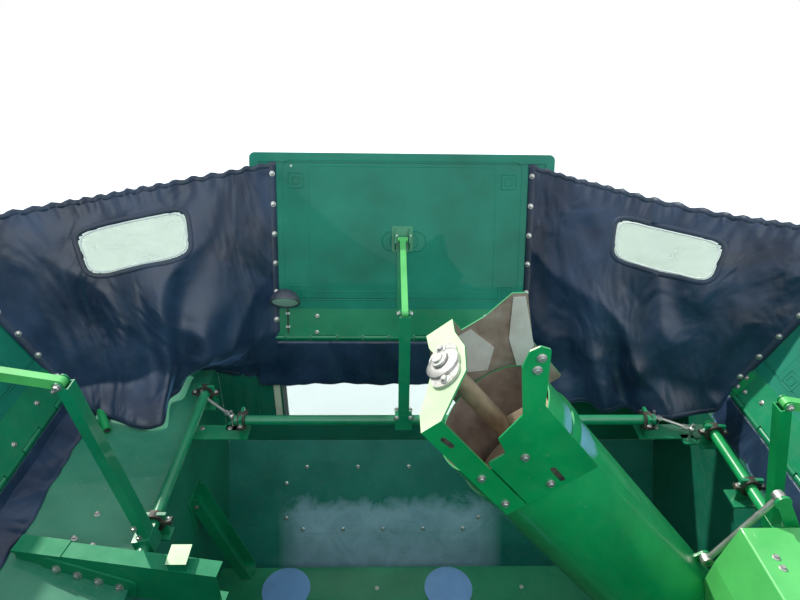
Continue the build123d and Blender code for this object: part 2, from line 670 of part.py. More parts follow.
def left_brace():
    """Channel beam on the left shelf with its splice plate, ribs, strut and a capped post."""
    start, end = BRACE_START, BRACE_END
    run = Vector(end[0] - start[0], end[1] - start[1], 0)
    fall = run.Y / run.X
    body = side_box((0, 0, 0), (run.length, BRACE_T, BRACE_H))
    body += side_box((0, 0, BRACE_H - BRACE_T), (run.length, BRACE_FLANGE, BRACE_H))
    body += side_box((0, 0, 0), (run.length, BRACE_FLANGE, BRACE_T))
    lap_far = (BRACE_LAP, BRACE_FLANGE + 4, BRACE_H + BRACE_T / 2)
    body += side_box((-BRACE_T, -BRACE_T / 2, BRACE_H - BRACE_T), lap_far)
    splice = Pos(SPLICE_AT[0], 1, SPLICE_AT[1]) * Rot(90, 0, 0) * Rot(0, 0, -SPLICE_TILT)
    body += extrude(splice * RectangleRounded(*SPLICE_SIZE, SPLICE_R), BRACE_T + 1)
    for x in RIB_X:
        rib = [(0, BRACE_T), (-RIB_REACH, BRACE_T), (0, SPLICE_AT[1] - SPLICE_SIZE[1] / 2)]
        body += extrude(Plane.YZ.offset(x) * make_face(Polyline(*rib, close=True)), BRACE_T)
    body = Pos(start[0], start[1], BRACE_Z) * Rot(0, 0, degrees(atan2(run.Y, run.X))) * body
    foot_y = start[1] + fall * (INNER_LEFT - start[0])
    low = (end[0] - BRACE_T, end[1] + BRACE_T, BRACE_Z + 10)
    high = (INNER_LEFT - 20, foot_y, BRACE_Z - STRUT_DROP)
    body += bar(low, high, STRUT_W, BRACE_T)
    body += side_box((INNER_LEFT + SEAT, foot_y - STRUT_W, high[2] - STRUT_W),
                     (INNER_LEFT + BRACE_T, foot_y + STRUT_W, high[2] + 2 * STRUT_W))
    wide, deep, thick = POST_CAP
    post_y = start[1] + fall * (POST_X - start[0]) + deep / 2
    body += side_box((POST_X - POST_W / 2, post_y - deep / 2 + 4, BRACE_Z),
                     (POST_X + POST_W / 2, post_y - deep / 2 + 4 + BRACE_T, POST_TOP))
    body += Pos(POST_X, post_y, POST_TOP + thick / 2) * Box(wide, deep, thick)
    rise = 2 * SEAT
    edge = TANK_LEFT - 50
    under = [(edge, 900), (INNER_LEFT + SEAT, 900), (INNER_LEFT + SEAT, shelf_height(INNER_LEFT) + rise),
             (edge, shelf_height(edge) + rise)]
    shelf = Plane.XZ.offset(-END_HINGE_Y) * make_face(Polyline(*under, close=True))
    return body - extrude(shelf, 2 * END_HINGE_Y)


def shaft_bracket(low_corner, high_corner, plates):
    """Flat bracket on a wall with upright bearing plates; plates hold one shaft end each."""
    body = side_box(low_corner, high_corner)
    foot, top, bore = high_corner[2] - 1, SHAFT_Z + PLATE_UP, SHAFT_R + PIN_CLEAR
    half = BEARING_T / 2
    for axis, at, centre in plates:
        low = max(centre - PLATE_HALF, INNER_LEFT + SEAT)
        high = min(centre + PLATE_HALF, INNER_RIGHT - SEAT)
        if axis == "x":
            plate = side_box((at - half, centre - PLATE_HALF, foot), (at + half, centre + PLATE_HALF, top))
            plate -= tube((at - BEARING_T, centre, SHAFT_Z), (at + BEARING_T, centre, SHAFT_Z), bore)
        else:
            plate = side_box((low, at - half, foot), (high, at + half, top))
            plate -= tube((centre, at - BEARING_T, SHAFT_Z), (centre, at + BEARING_T, SHAFT_Z), bore)
        body += plate
    return body


def flap(turn, distance, width, back, height, foot):
    """Rubber strip inside the rim below a hinge; foot is how far it lies out on a shelf."""
    face = -back - SEAT
    sheet = side_box((-width / 2, face - FLAP_T, -BARREL_R - 8 - height), (width / 2, face, -BARREL_R - 8))
    if foot:
        slope = degrees(atan2(SHELF_TOP - SHELF_Z, INNER_LEFT - TANK_LEFT - SEAT))
        lying = side_box((-width / 2, -foot, 0), (width / 2, 0, FLAP_T))
        sheet += Pos(0, face, -BARREL_R - 8 - height) * Rot(slope, 0, 0) * lying
    return Rot(0, 0, turn) * Pos(0, distance, HINGE_Z) * sheet


def fabric(x_sign, y_sign):
    """Cloth corner between an end cover and a side cover, down to its hem inside the rim."""
    end_lean, side_lean = radians(END_LEAN), radians(SIDE_LEAN)
    inset_end, inset_side = FABRIC_INSET_END, FABRIC_INSET_SIDE
    clear = COVER_SET + STRIP_T + 2 * SEAT

    def end_point(up):
        y = END_HINGE_Y + up * sin(end_lean) - clear * cos(end_lean)
        z = HINGE_Z + up * cos(end_lean) + clear * sin(end_lean)
        return x_sign * (END_COVER_W / 2 - inset_end), y_sign * y, z

    def side_point(up):
        x = TANK_RIGHT + up * sin(side_lean) - clear * cos(side_lean)
        z = HINGE_Z + up * cos(side_lean) + clear * sin(side_lean)
        return x_sign * x, y_sign * (SIDE_COVER_W / 2 - inset_side), z

    low_end = (end_point(0)[0], y_sign * (END_HINGE_Y - clear / cos(end_lean)), HINGE_Z)
    low_side = (x_sign * (TANK_RIGHT - clear / cos(side_lean)), side_point(0)[1], HINGE_Z)
    rings = []
    hem_end = (low_end[0], low_end[1], FABRIC_HEM_END)
    hem_side = (low_side[0] - x_sign * 12, low_side[1], FABRIC_HEM_SIDE)
    top_end, top_side = end_point(COVER_H - FABRIC_DROP), side_point(COVER_H - FABRIC_DROP)
    for a, b in ((hem_end, hem_side), (low_end, low_side), (top_end, top_side)):
        va, vb = Vector(*a), Vector(*b)
        across = (vb - va).cross(Vector(0, 0, 1)).normalized() * (FABRIC_T * x_sign * y_sign)
        points = [va, vb, vb + across, va + across]
        rings.append(Wire(Polyline(*points, close=True).edges()))
    low = Solid.make_loft(rings[:2], ruled=True)
    high = Solid.make_loft(rings[1:], ruled=True)
    return low + high


def lamp():
    """Work lamp with a domed shade on a short arm from the cover's strip."""
    shade = Sphere(LAMP_R) & Pos(0, 0, LAMP_R) * Box(3 * LAMP_R, 3 * LAMP_R, 2 * LAMP_R)
    shade += Cylinder(LAMP_R, 5, align=(Align.CENTER, Align.CENTER, Align.MAX))
    arm = side_box((-6, 0, 4), (6, LAMP_OFF, 16))
    placed = Pos(LAMP_X, -LAMP_OFF, LAMP_UP) * (shade + arm)
    limit = side_box((-END_COVER_W, -COVER_H, 0), (END_COVER_W, -COVER_SET - 2 * SEAT, COVER_H))
    return place(0, END_HINGE_Y, END_LEAN) * (placed & limit)


def window_glass():
    """Pane and its rubber gasket in the front wall's window."""
    pane = Pos(WINDOW_X, END_HINGE_Y + WALL / 2, WINDOW_Z) * Box(WINDOW_W - 2 * SEAT, 4, WINDOW_H - 2 * SEAT)
    return fillet(pane.edges().filter_by(Axis.Y), WINDOW_R - SEAT)


def window_gasket():
    """Rubber frame on the inner face round the window."""
    centre = Pos(WINDOW_X, END_HINGE_Y - GASKET_T / 2, WINDOW_Z)
    frame = centre * Box(WINDOW_W + 24, GASKET_T, WINDOW_H + 24)
    frame = fillet(frame.edges().filter_by(Axis.Y), WINDOW_R + 12)
    hole = centre * Box(WINDOW_W - 16, 4 * GASKET_T, WINDOW_H - 16)
    return frame - fillet(hole.edges().filter_by(Axis.Y), WINDOW_R - 8)


def drive_box():
    """Folded housing over the auger's drive, seated on the upper rear side of the tube."""
    plane = Plane(origin=(0, BOX_FAR, 0), x_dir=(1, 0, 0), z_dir=(0, -1, 0))
    body = slab(BOX_OUTLINE, BOX_FAR - BOX_NEAR, plane)
    body = fillet(body.edges().filter_by(Axis.Y), BOX_CORNER_R)
    return body - auger_place() * Cylinder(TUBE_R + SEAT, 2 * TUBE_TO)


def cover_pin(side):
    """Way out and up from a side's shaft to the pin between the cover's ears."""
    name, turn, distance, lean, width, shaft_at, span, crank_x, rise, up, off = side
    a = radians(lean)
    out = distance + up * sin(a) - off * cos(a) - shaft_at
    return out, HINGE_Z - SHAFT_Z + up * cos(a) + off * sin(a)


def crank_rise(side):
    """Way out and up of a crank; a parallelogram's crank copies the cover's arm."""
    name, turn, distance, lean, width, shaft_at, span, crank_x, rise, up, off = side
    if rise:
        return rise
    pin_out, pin_up = cover_pin(side)
    return pin_out - (distance - shaft_at), pin_up - (HINGE_Z - SHAFT_Z)


def save(name, shape):
    """Write one piece; several solids stay together in one file."""
    solids = shape.solids()
    out = solids[0] if len(solids) == 1 else Compound(children=list(solids))
    export_step(out, f"parts/{name}.step")


def save_body():
    save("front_wall", end_wall(1, window=True))
    save("rear_wall", end_wall(-1))
    save("front_slope", end_slope(1))
    save("rear_slope", end_slope(-1))
    save("left_wall", side_wall_left())
    save("right_wall", side_wall_right())
    save("rim", rim())
    save("window_glass", window_glass())
    save("window_gasket", window_gasket())
    save("floor", trough_floor())
    save("base_rails", base_rails())
    save("access_cover", access_cover())
    save("sample_chute", sample_chute())
    save("left_brace", left_brace())
    for name, sign in (("front", 1), ("rear", -1)):
        save(f"{name}_auger_cover", auger_cover(sign))
        save(f"{name}_cross_auger", cross_auger(sign))


def save_covers():
    for side in SIDES:
        name, turn, distance, lean, width, shaft_at, span, crank_x, rise, up, off = side
        out_up = crank_rise(side)
        save(f"{name}_cover", cover_panel(width, lean, turn, distance))
        save(f"{name}_cover_strip", cover_strip(width, lean, turn, distance, crank_x, up, off))
        save(f"{name}_hinge", hinge_leaf(width, turn, distance))
        save(f"{name}_shaft", shaft(turn, shaft_at, span, out_up, crank_x, name == "right"))
        save(f"{name}_link", link(turn, shaft_at, out_up, cover_pin(side), crank_x))
        save(f"{name}_flap", flap(turn, distance, width, *FLAPS[name]))
    for x_sign, x_name in ((-1, "left"), (1, "right")):
        for y_sign, y_name in ((1, "front"), (-1, "rear")):
            save(f"fabric_{y_name}_{x_name}", fabric(x_sign, y_sign))
    save("lamp", lamp())


def save_auger():
    save("auger_tube", auger_tube())
    save("auger_mouth", auger_mouth())
    save("auger_screw", auger_screw())
    save("auger_foot", auger_foot())
    save("auger_rod", rod())
    save("auger_drive_box", drive_box())


def save_brackets():
    for side, edge in (("left", INNER_LEFT + SEAT), ("right", INNER_RIGHT - SEAT)):
        group = []
        for name, inner_x, low_y, high_y, plates in BRACKETS:
            if name == side:
                left, right = sorted((edge, inner_x))
                low, high = (left, low_y, BRACKET_Z - BRACKET_T), (right, high_y, BRACKET_Z)
                group.append(shaft_bracket(low, high, plates))
        save(f"brackets_{side}", Compound(children=group))


def main():
    os.makedirs("parts", exist_ok=True)
    save_body()
    save_covers()
    save_auger()
    save_brackets()


if __name__ == "__main__":
    main()
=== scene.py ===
import json
import math
import bpy
import bmesh
from mathutils import Matrix, Vector, noise
from mathutils.bvhtree import BVHTree


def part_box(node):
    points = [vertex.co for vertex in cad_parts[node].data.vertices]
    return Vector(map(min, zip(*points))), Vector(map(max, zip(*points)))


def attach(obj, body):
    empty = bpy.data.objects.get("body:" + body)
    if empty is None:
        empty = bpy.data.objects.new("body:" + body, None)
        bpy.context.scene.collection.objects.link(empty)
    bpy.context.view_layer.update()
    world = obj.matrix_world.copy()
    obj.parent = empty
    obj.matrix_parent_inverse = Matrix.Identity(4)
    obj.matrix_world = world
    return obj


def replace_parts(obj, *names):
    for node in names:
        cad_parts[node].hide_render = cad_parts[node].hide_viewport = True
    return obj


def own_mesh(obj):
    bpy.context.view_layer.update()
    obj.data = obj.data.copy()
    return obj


# A combine harvester's grain tank with fold-in covers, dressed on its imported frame.
# Metres, in the frame's own axes: +Y forwards, +X to the right, +Z up.
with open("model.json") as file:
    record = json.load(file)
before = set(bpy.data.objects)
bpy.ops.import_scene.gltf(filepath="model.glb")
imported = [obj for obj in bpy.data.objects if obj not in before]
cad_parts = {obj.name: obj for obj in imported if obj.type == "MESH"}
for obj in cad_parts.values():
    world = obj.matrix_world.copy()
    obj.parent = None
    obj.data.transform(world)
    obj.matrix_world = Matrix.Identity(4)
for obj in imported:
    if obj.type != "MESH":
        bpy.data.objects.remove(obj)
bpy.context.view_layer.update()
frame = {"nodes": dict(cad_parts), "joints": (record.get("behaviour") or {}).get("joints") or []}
JOINTS = {j["name"]: j for j in frame["joints"]}

PLACES = {name: joint["pos_m"] for name, joint in JOINTS.items()}

# Driving sizes, most of them read from the frame
END_Y, HINGE_Z = PLACES["front_cover_fold"][1:]
SIDE_X = PLACES["right_cover_fold"][0]
SHAFT_Z = PLACES["left_shaft_turn"][2]
END_SHAFT_Y = PLACES["front_shaft_turn"][1]
LEFT_SHAFT_X = PLACES["left_shaft_turn"][0]
RIGHT_SHAFT_X = PLACES["right_shaft_turn"][0]
END_LEAN = 20.7
SIDE_LEAN = 27.0
COVER_H = 0.8
COVER_FACE = -0.007
COVER_BACK = 0.015
STRIP_FACE = -0.0113
STRIP_TOP = 0.13
STRAP_X = 0.538
RIVET_Y = 0.61
AUGER_PIVOT = Vector(PLACES["auger_fold"])
AUGER_AXIS = Vector(JOINTS["auger_screw_turn"]["axis"])

# Camera, fitted to the photograph: place, yaw, pitch, roll and lens
CAMERA_AT = (-0.079, -1.273, 3.13)
YAW, PITCH, ROLL = 1.76, -30.45, 1.13
CAMERA_LENS = 27.54

# Turn about Z, distance of the hinge line and lean of each cover
SIDES = {
    "front": (0, END_Y, END_LEAN),
    "rear": (180, END_Y, END_LEAN),
    "left": (90, SIDE_X, SIDE_LEAN),
    "right": (-90, SIDE_X, SIDE_LEAN),
}


def turned(degrees, axis):
    return Matrix.Rotation(math.radians(degrees), 4, axis)


def hinge_frame(side):
    """Frame on a cover's hinge line: X along it, Y outwards, Z up the leaning cover."""
    turn, distance, lean = SIDES[side]
    return turned(turn, "Z") @ Matrix.Translation((0, distance, HINGE_Z)) @ turned(-lean, "X")


def auger_frame():
    """Frame at the loading auger's pivot: Z along its tube, Y as the frame's, X on its upper right side."""
    z = AUGER_AXIS.normalized()
    y = Vector((0, 1, 0))
    x = y.cross(z)
    return Matrix.Translation(AUGER_PIVOT) @ Matrix((x, y, z)).transposed().to_4x4()


# Materials

# Fine bump of a painted and of a moulded face: scale, roughness, strength, distance
SMOOTH = (240.0, 0.5, 0.12, 0.0008)
GRAINED = (900.0, 0.6, 0.5, 0.0015)


def new_material(name):
    material = bpy.data.materials.new(name)
    material.use_nodes = True
    tree = material.node_tree
    return material, tree, tree.nodes["Principled BSDF"]


def fill(tree, item, values):
    """Give a node's sockets, by name or number, each a link, a colour or a number."""
    for key, value in values.items():
        socket = item.inputs[key]
        if isinstance(value, bpy.types.NodeSocket):
            tree.links.new(value, socket)
        elif socket.type == "RGBA":
            socket.default_value = (*value[:3], 1)
        else:
            socket.default_value = value


def new_node(tree, kind, values, operation=None):
    item = tree.nodes.new("ShaderNode" + kind)
    if operation:
        item.operation = operation
    fill(tree, item, values)
    return item


def calculate(tree, operation, *values):
    return new_node(tree, "Math", dict(enumerate(values)), operation).outputs[0]


def coords(tree, scale=(1, 1, 1)):
    """Object coordinates, scaled."""
    source = new_node(tree, "TexCoord", {})
    return new_node(tree, "Mapping", {"Vector": source.outputs["Object"], "Scale": scale}).outputs["Vector"]


def noise_of(tree, where, scale, detail=4.0, roughness=0.55, distortion=0.0):
    item = new_node(tree, "TexNoise", {"Vector": where, "Scale": scale, "Detail": detail,
                                       "Roughness": roughness, "Distortion": distortion})
    return item.outputs["Fac"]


def ramp(tree, source, stops):
    """Colour ramp from (position, grey or colour) stops."""
    item = new_node(tree, "ValToRGB", {"Fac": source})
    elements = item.color_ramp.elements
    while len(elements) < len(stops):
        elements.new(0.5)
    for element, (at, value) in zip(elements, stops):
        element.position = at
        colour = value if hasattr(value, "__len__") else (value, value, value)
        element.color = (*colour[:3], 1)
    return item.outputs["Color"]


def mix(tree, factor, a, b):
    """Mix two colours; each of the three is a socket or a plain value."""
    item = tree.nodes.new("ShaderNodeMix")
    item.data_type = "RGBA"
    fill(tree, item, {0: factor, 6: a, 7: b})
    return item.outputs[2]


def upwards(tree, low, high):
    """One on faces that look up, nought on upright ones."""
    normal = new_node(tree, "NewGeometry", {}).outputs["Normal"]
    split = new_node(tree, "SeparateXYZ", {"Vector": normal})
    return ramp(tree, split.outputs["Z"], [(low, 0.0), (high, 1.0)])


def bump(tree, onto, height, strength, distance):
    """Bump on a shader, or under another bump."""
    item = new_node(tree, "Bump", {"Height": height, "Strength": strength, "Distance": distance})
    tree.links.new(item.outputs["Normal"], onto.inputs["Normal"])
    return item


def near_point(tree, centre, radius):
    """One within a ragged ball about a point, nought outside it."""
    where = coords(tree)
    away = new_node(tree, "VectorMath", {0: where, 1: centre}, "DISTANCE").outputs["Value"]
    ragged = noise_of(tree, where, 16.0, 7.0, 0.65, 0.6)
    reach = calculate(tree, "MULTIPLY_ADD", ragged, radius, away)
    return ramp(tree, reach, [(radius * 1.05, 1.0), (radius * 1.3, 0.0)])


def painted(name, base, dust, chips, gloss, fine=SMOOTH, bluish_patches=(), shine=0.5):
    """Paint: cloudy tone, dust that lies on upper faces, worn specks, pale bluish patches and a fine bump."""
    material, tree, shader = new_material(name)
    where = coords(tree)
    cloud = noise_of(tree, where, 5.0, 6.0)
    dark = [c * 0.78 for c in base]
    light = [min(1.0, c * 1.18 + 0.004) for c in base]
    tone = ramp(tree, cloud, [(0.3, dark), (0.52, base), (0.75, light)])
    smear = noise_of(tree, where, 22.0, 8.0, 0.7, 0.6)
    film = ramp(tree, smear, [(0.45, 0.0), (0.78, 0.22 * dust)])
    colour = mix(tree, film, tone, DUST)
    settled = ramp(tree, cloud, [(0.3, 0.0), (0.8, 0.34 * dust)])
    colour = mix(tree, calculate(tree, "MULTIPLY", upwards(tree, 0.35, 0.95), settled), colour, DUST)
    speck = noise_of(tree, where, 95.0, 3.0, 0.5)
    colour = mix(tree, ramp(tree, speck, [(0.7, 0.0), (0.73, chips)]), colour, CHIP)
    for centre, radius in bluish_patches:
        share = calculate(tree, "MULTIPLY", near_point(tree, centre, radius), 0.75)
        colour = mix(tree, share, colour, BLUISH_PATCH)
    rough = ramp(tree, smear, [(0.3, gloss), (0.8, min(1.0, gloss + 0.22))])
    fill(tree, shader, {"Base Color": colour, "Roughness": rough, "Coat Weight": shine / 2,
                        "Specular IOR Level": shine})
    scale, roughness, strength, distance = fine
    bump(tree, shader, noise_of(tree, where, scale, 2.0, roughness), strength, distance)
    return material


def worn_low(name, base, low, high, left, right):
    """Green paint scoured down to pale metal below a ragged line, between two x places; the metal's bluish
    tone is a painted sky reflection.
    """
    material = painted(name, base, 0.3, 0.3, 0.42)
    tree = material.node_tree
    shader = tree.nodes["Principled BSDF"]
    paint = shader.inputs["Base Color"].links[0].from_socket
    where = coords(tree)
    ragged = noise_of(tree, where, 7.0, 9.0, 0.68, 0.5)
    split = new_node(tree, "SeparateXYZ", {"Vector": where})
    rise = calculate(tree, "MULTIPLY_ADD", ragged, 0.22, split.outputs["Z"])
    share = ramp(tree, rise, [(low, 1.0), (high, 0.0)])
    for none, full in ((left, left + 0.12), (right, right - 0.12)):
        edge = new_node(tree, "MapRange", {"Value": split.outputs["X"], "From Min": none, "From Max": full})
        share = calculate(tree, "MULTIPLY", share, edge.outputs[0])
    # Worn metal, its pale bluish colour partly a painted sky reflection
    worn_metal_and_sky = ramp(tree, ragged, [(0.3, (0.2, 0.36, 0.42)), (0.7, (0.4, 0.58, 0.68))])
    fill(tree, shader, {"Base Color": mix(tree, share, paint, worn_metal_and_sky),
                        "Metallic": calculate(tree, "MULTIPLY", share, 0.35)})
    return material


def metal(name, base, rough, scratch=0.25, tint=None, shine=0.85):
    """Bare or plated metal with a cloudy tone and fine scratches."""
    material, tree, shader = new_material(name)
    where = coords(tree)
    cloud = noise_of(tree, where, 14.0, 5.0)
    tone = ramp(tree, cloud, [(0.3, tint or [c * 0.6 for c in base]), (0.7, base)])
    line = noise_of(tree, where, 160.0, 3.0, 0.7)
    spread = ramp(tree, line, [(0.3, rough), (0.75, min(1.0, rough + 0.25))])
    fill(tree, shader, {"Base Color": tone, "Metallic": shine, "Roughness": spread})
    bump(tree, shader, line, scratch, 0.0006)
    return material


def cloth(name, base, sheen=0.45, rough=0.34, creases=0.55):
    """Coated dark cloth: creases and a fine weave under the coating, dull smudges, dust in its folds, and a
    blue sheen tint that is a painted sky reflection.
    """
    material, tree, shader = new_material(name)
    where = coords(tree)
    smudge = noise_of(tree, where, 3.2, 7.0, 0.62, 0.4)
    light = [c * 2.3 + 0.006 for c in base]
    tone = ramp(tree, smudge, [(0.38, base), (0.66, light)])
    film = ramp(tree, noise_of(tree, where, 38.0, 6.0, 0.7), [(0.55, 0.0), (0.85, 0.07)])
    spread = ramp(tree, smudge, [(0.3, rough - 0.08), (0.7, rough + 0.16)])
    # The blue sheen tint stands in for the sky's reflection: a painted reflection
    fill(tree, shader, {"Base Color": mix(tree, film, tone, DUST), "Roughness": spread, "Sheen Weight": sheen,
                        "Sheen Tint": (0.3, 0.5, 0.95), "Sheen Roughness": 0.35})
    weave = bump(tree, shader, noise_of(tree, where, 620.0, 2.0, 0.5), 0.15, 0.0009)
    pull = coords(tree, (1.0, 1.0, 0.55))
    bump(tree, weave, noise_of(tree, pull, 3.6, 3.0, 0.42, 0.9), creases, 0.1)
    return material


def plain_plastic(name, base, rough):
    """Moulded plastic or rubber with a light dust film."""
    material, tree, shader = new_material(name)
    where = coords(tree)
    film = ramp(tree, noise_of(tree, where, 26.0, 6.0, 0.65), [(0.45, 0.02), (0.8, 0.3)])
    fill(tree, shader, {"Base Color": mix(tree, film, base, DUST), "Roughness": rough})
    bump(tree, shader, noise_of(tree, where, 420.0, 2.0, 0.5), 0.2, 0.0006)
    return material


def clear(name, tint, haze, cover):
    """Clear sheet or glass with a hazy, scratched film; cover is how much of it is film."""
    material, tree, shader = new_material(name)
    cloud = noise_of(tree, coords(tree), 9.0, 7.0, 0.7, 0.8)
    rough = ramp(tree, cloud, [(0.35, haze), (0.75, haze + 0.25)])
    veil = ramp(tree, cloud, [(0.3, 1.0 - cover), (0.8, 1.0 - 1.6 * cover)])
    fill(tree, shader, {"Base Color": tint, "Roughness": rough, "Transmission Weight": veil, "IOR": 1.3})
    return material


DUST = (0.42, 0.36, 0.24)
CHIP = (0.3, 0.32, 0.3)
# Pale bluish patches on the auger's tube, and their centres and radii
BLUISH_PATCH = (0.2, 0.42, 0.55)
BLUISH_PATCHES = [((0.385, -0.135, 2.105), 0.075), ((0.425, -0.14, 2.065), 0.065)]
GREEN = (0.001, 0.215, 0.092)
# Lighter green that stands in for sunlight on the paint: painted sunlight
GREEN_PAINTED_SUNLIGHT = (0.001, 0.29, 0.078)
PAINT = painted("green_paint", GREEN, 0.18, 0.25, 0.3)
PAINT_MATT = painted("green_paint_matt", GREEN, 0.18, 0.25, 0.5, shine=0.2)
PAINT_WORN = painted("green_paint_worn", (0.003, 0.2, 0.108), 0.28, 0.5, 0.4)
# Painted sunlight: a lit copy of the paint for the rim, the auger's mouth, the right shaft, the covers' end
# plates and the shelf tube
PAINT_PAINTED_LIGHT = painted("green_paint_painted_light", GREEN_PAINTED_SUNLIGHT, 0.12, 0.25, 0.28)
# The auger tube's paint: the same painted sunlit green, with pale bluish patches
PAINT_TUBE = painted("green_paint_tube", GREEN_PAINTED_SUNLIGHT, 0.12, 0.25, 0.28, bluish_patches=BLUISH_PATCHES)
# Pale green of the drive box and the links: painted sunlight
PAINT_LIT = painted("green_paint_painted_sunlight", (0.085, 0.48, 0.115), 0.12, 0.25, 0.34)
# Darker green of the slopes, the front and right walls and the wall ribs: painted shade
PAINT_PAINTED_SHADE = painted("green_paint_painted_shade", (0.003, 0.13, 0.078), 0.25, 0.3, 0.42)
MOULDED = painted("cover_plastic", (0.001, 0.19, 0.118), 0.06, 0.0, 0.52, GRAINED, shine=0.3)
SCOURED = worn_low("green_paint_scoured", (0.001, 0.17, 0.125), 0.795, 0.85, -0.6, 0.52)
ZINC = metal("zinc", (0.62, 0.62, 0.6), 0.28)
BRONZE = metal("polished_flight", (0.62, 0.46, 0.32), 0.25, 0.3, (0.38, 0.26, 0.17), 0.5)
RUST = metal("brown_core", (0.42, 0.33, 0.22), 0.35, 0.5, (0.2, 0.14, 0.09), 0.45)
SCOUR = metal("scoured_sheet", (0.5, 0.41, 0.34), 0.38, 0.4, (0.24, 0.16, 0.12), 0.4)
SILVER = metal("bright_sheet", (0.8, 0.79, 0.74), 0.45, 0.4, (0.6, 0.55, 0.48), 0.4)
# Blue of the floor augers' lids: a painted sky reflection
LID_SKY_REFLECTION = painted("lid_painted_sky_reflection", (0.16, 0.32, 0.58), 0.15, 0.4, 0.5)
# Pale green of the mouth's top plate and the brace's post cap: painted sunlight
PAINTED_SUNLIT_PALE = painted("painted_sunlight_pale", (0.55, 0.74, 0.42), 0.2, 0.2, 0.4)
CREAM = painted("bare_edge", (0.62, 0.6, 0.46), 0.3, 0.3, 0.4)
CLOTH = cloth("coated_cloth", (0.007, 0.018, 0.042))
CLOTH_EDGE = cloth("cloth_binding", (0.007, 0.016, 0.034), 0.3, 0.45, 0.1)
# Black rubber of the bearing shells and the lamp cable; also painted shade in the mouth's slots and the shelf
# tube's bore
RUBBER_AND_HOLE_SHADE = plain_plastic("rubber", (0.012, 0.012, 0.012), 0.6)
GASKET = plain_plastic("gasket", (0.16, 0.17, 0.17), 0.6)
LAMP_SHELL = plain_plastic("lamp_shell", (0.04, 0.05, 0.075), 0.45)
LAMP_LENS = plain_plastic("lamp_lens", (0.68, 0.84, 0.72), 0.2)
WHITE = plain_plastic("white_tie", (0.75, 0.75, 0.72), 0.4)
VINYL = clear("window_vinyl", (0.6, 0.67, 0.58), 0.08, 0.22)
GLASS = clear("window_glass", (0.78, 0.84, 0.82), 0.02, 0.06)

# Nodes that take another material than the plain paint
LOOKS = [
    (GLASS, "window_glass"),
    (GASKET, "window_gasket"),
    (ZINC, "auger_rod"),
    (LAMP_SHELL, "lamp"),
    (SCOURED, "access_cover"),
    (PAINT_MATT, "left_brace"),
    (PAINT_TUBE, "auger_tube"),
    (PAINT_WORN, "floor", "left_wall"),
    # Rim, mouth and right shaft take the painted sunlit green
    (PAINT_PAINTED_LIGHT, "rim", "auger_mouth", "right_shaft"),
    # Slopes and these walls take the painted shade green
    (PAINT_PAINTED_SHADE, "front_slope", "rear_slope", "front_wall", "right_wall"),
    (PAINT_LIT, "auger_drive_box", *(f"{side}_link" for side in SIDES)),
    (MOULDED, *(f"{side}_cover" for side in SIDES)),
    (RUST, "auger_screw", "front_cross_auger", "rear_cross_auger"),
]
NODE_MATERIALS = {name: look for look, *names in LOOKS for name in names}

# Upper faces of the mouth, along the auger, and of the floor augers' lids and the brace's post start here
HEAD_TOP = 1.697
LID_Z = 0.555
POST_Z = 1.58
# Beyond these radii a face belongs to a flight
CROSS_CORE_R = 0.06
SCREW_CORE_R = 0.04


def second_look(name, material, test):
    """Give another material to the faces of a node that pass a test of their centre and normal."""
    mesh = frame["nodes"][name].data
    mesh.materials.append(material)
    for face in mesh.polygons:
        if test(face.center, face.normal):
            face.material_index = len(mesh.materials) - 1


def inner_faces():
    """Grain has scoured the inside of the auger's tube and mouth, and the edges of its flights."""
    back = auger_frame().inverted()
    turn = back.to_3x3()

    def inside(at, n):
        p = back @ at
        d = turn @ n
        radius = math.hypot(p.x, p.y)
        return 0.05 < radius < 0.2 and (d.x * p.x + d.y * p.y) / radius < -0.35

    second_look("auger_mouth", SCOUR, inside)
    second_look("auger_tube", SCOUR, inside)
    second_look("auger_mouth", SCOUR, lambda at, n: n.y < -0.9 and (back @ at).y > 0.12)
    # The mouth's top plate gets painted sunlight
    second_look("auger_mouth", PAINTED_SUNLIT_PALE, lambda at, n: (turn @ n).z > 0.9 and (back @ at).z > HEAD_TOP)
    second_look("auger_screw", BRONZE, lambda at, n: (back @ at).xy.length > SCREW_CORE_R)


def paint_nodes():
    for name, node in frame["nodes"].items():
        node.data.materials.clear()
        node.data.materials.append(NODE_MATERIALS.get(name, PAINT))
    inner_faces()
    second_look("front_slope", SCOURED, lambda at, n: n.y < -0.5 and n.z > 0.2)
    second_look("rear_slope", PAINT_WORN, lambda at, n: n.y > 0.5 and n.z > 0.2)
    # The brace's post cap gets painted sunlight
    second_look("left_brace", PAINTED_SUNLIT_PALE, lambda at, n: n.z > 0.5 and at.z > POST_Z)
    for end in ("front", "rear"):
        # The lids' tops take the painted sky reflection
        second_look(f"{end}_auger_cover", LID_SKY_REFLECTION, lambda at, n: n.z > 0.5 and at.z > LID_Z)
        y, z = PLACES[f"{end}_cross_auger_turn"][1:]
        second_look(f"{end}_cross_auger", BRONZE, lambda at, n: math.hypot(at.y - y, at.z - z) > CROSS_CORE_R)


# Mesh helpers

def new_object(name, data):
    item = bpy.data.objects.new(name, data)
    bpy.context.scene.collection.objects.link(item)
    return item


def finish_mesh(name, bm, materials, body, smooth_angle=38.0):
    """Turn a bmesh into an object that rides on a body."""
    bmesh.ops.recalc_face_normals(bm, faces=bm.faces[:])
    mesh = bpy.data.meshes.new(name)
    bm.to_mesh(mesh)
    bm.free()
    mesh.shade_smooth()
    mesh.set_sharp_from_angle(angle=math.radians(smooth_angle))
    for material in materials if isinstance(materials, list) else [materials]:
        mesh.materials.append(material)
    piece = new_object(name, mesh)
    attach(piece, body)
    return piece


